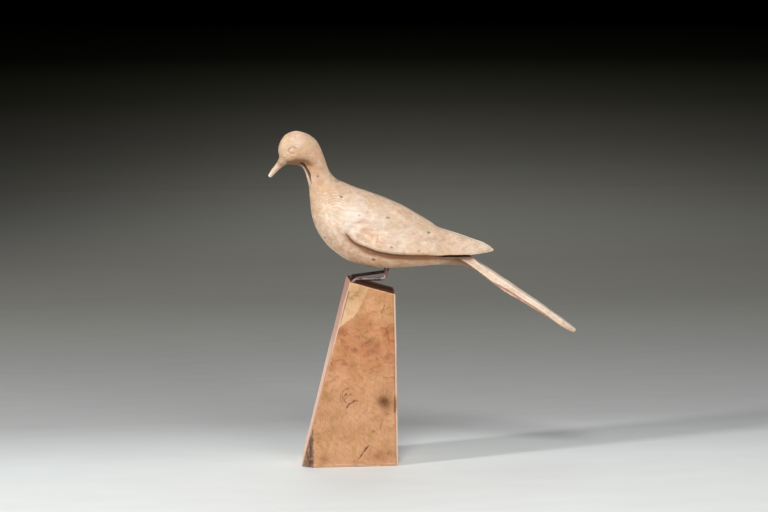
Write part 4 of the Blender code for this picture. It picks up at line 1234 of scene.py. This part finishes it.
def stage_paper():
    """Pale paper darkened with the way back by painted shade, and lit in the middle far back by
    painted light; faintly uneven.
    """
    material, tree, shader, place = new_material("stage_paper")
    shader.inputs["Specular IOR Level"].default_value = 0.0
    ramp = put(tree, "ValToRGB", {"Fac": mask(tree, "way_back")})
    for metres, *colour in PAPER_WITH_SHADE:
        ramp.color_ramp.elements.new((metres - WAY[0]) / (WAY[1] - WAY[0])).color = tint(*colour)
    for spare in (0, -1):
        ramp.color_ramp.elements.remove(ramp.color_ramp.elements[spare])
    uneven = layer(tree, cloud(tree, place, (90, 25, 90), 3), tint(255, 255, 255),
                   tint(244, 245, 246))
    paper = put(tree, "Mix", {0: 1.0, 6: ramp.outputs[0], 7: uneven}, data_type="RGBA",
                blend_type="MULTIPLY")
    lit = stretch(tree, mask(tree, "lit"), 0.4, 1.4)
    paper = put(tree, "VectorMath", {0: paper.outputs[2], "Scale": lit},
                operation="SCALE")
    tree.links.new(paper.outputs[0], shader.inputs["Base Color"])
    return material


floor = new_piece("floor", sweep_points())
if floor.data.polygons[0].normal.z < 0:
    floor.data.flip_normals()
points = read_points(floor.data) * MM
end, curve = FLOOR_END * MM, CURVE * MM
turned = np.arctan2(np.clip(points[:, 1] - end, 0, 1), curve - np.clip(points[:, 2], 0, curve))
way = np.minimum(points[:, 1], end) + curve * turned + np.clip(points[:, 2] - curve, 0, 1)
paint(floor.data, way_back=(way - WAY[0]) / (WAY[1] - WAY[0]))
# Painted light: far back, the paper is brighter behind the bird and darker towards both sides.
far = ease(0.9, 2.6, way)
side = points[:, 0] - 0.04 - 0.1 * points[:, 1]
lit = np.where(side < 0.1, bell((side - 0.1) / 0.95, 1), bell((side - 0.1) / 1.9, 1))
paint(floor.data, lit=0.6 + far * (0.95 * lit - 0.6))
floor.data.materials.append(stage_paper())


LIT_PLACE = Vector((0.0, 0.0, 0.2))


def area_light(name, place, size, power):
    """A square soft light that faces the top of the block."""
    light = bpy.data.lights.new(name, "AREA")
    light.energy, light.size = power, size
    lamp = bpy.data.objects.new(name, light)
    lamp.location = place
    aim = LIT_PLACE - Vector(place)
    lamp.rotation_euler = aim.to_track_quat("-Z", "Y").to_euler()
    bpy.context.scene.collection.objects.link(lamp)


area_light("key", (-2.886, -0.91, 1.242), 0.22, 83)
area_light("overhead", (-0.21, -1.48, 2.33), 0.7, 41)
area_light("front", (1.57, -2.72, 0.865), 1.6, 60)
area_light("above", (0.3, 1.2, 2.6), 1.5, 20)

world = bpy.data.worlds.new("studio")
world.use_nodes = True
world.node_tree.nodes["Background"].inputs["Color"].default_value = (0.03, 0.03, 0.03, 1)
bpy.context.scene.world = world
bpy.context.scene.view_settings.view_transform = "Standard"

CAMERA_TURN, CAMERA_RISE = math.radians(-5.648), math.radians(7.823)
CAMERA_DISTANCE = 2.114347
CAMERA_TARGET = Vector((0.042, 0.0, 0.2435))
lens = bpy.data.cameras.new("camera")
lens.lens, lens.sensor_width = 85, 36
camera = bpy.data.objects.new("camera", lens)
away = Vector((math.sin(CAMERA_TURN) * math.cos(CAMERA_RISE),
               -math.cos(CAMERA_TURN) * math.cos(CAMERA_RISE), math.sin(CAMERA_RISE)))
camera.location = CAMERA_TARGET + away * CAMERA_DISTANCE
camera.rotation_euler = (-away).to_track_quat("-Z", "Y").to_euler()
bpy.context.scene.collection.objects.link(camera)
bpy.context.scene.camera = camera
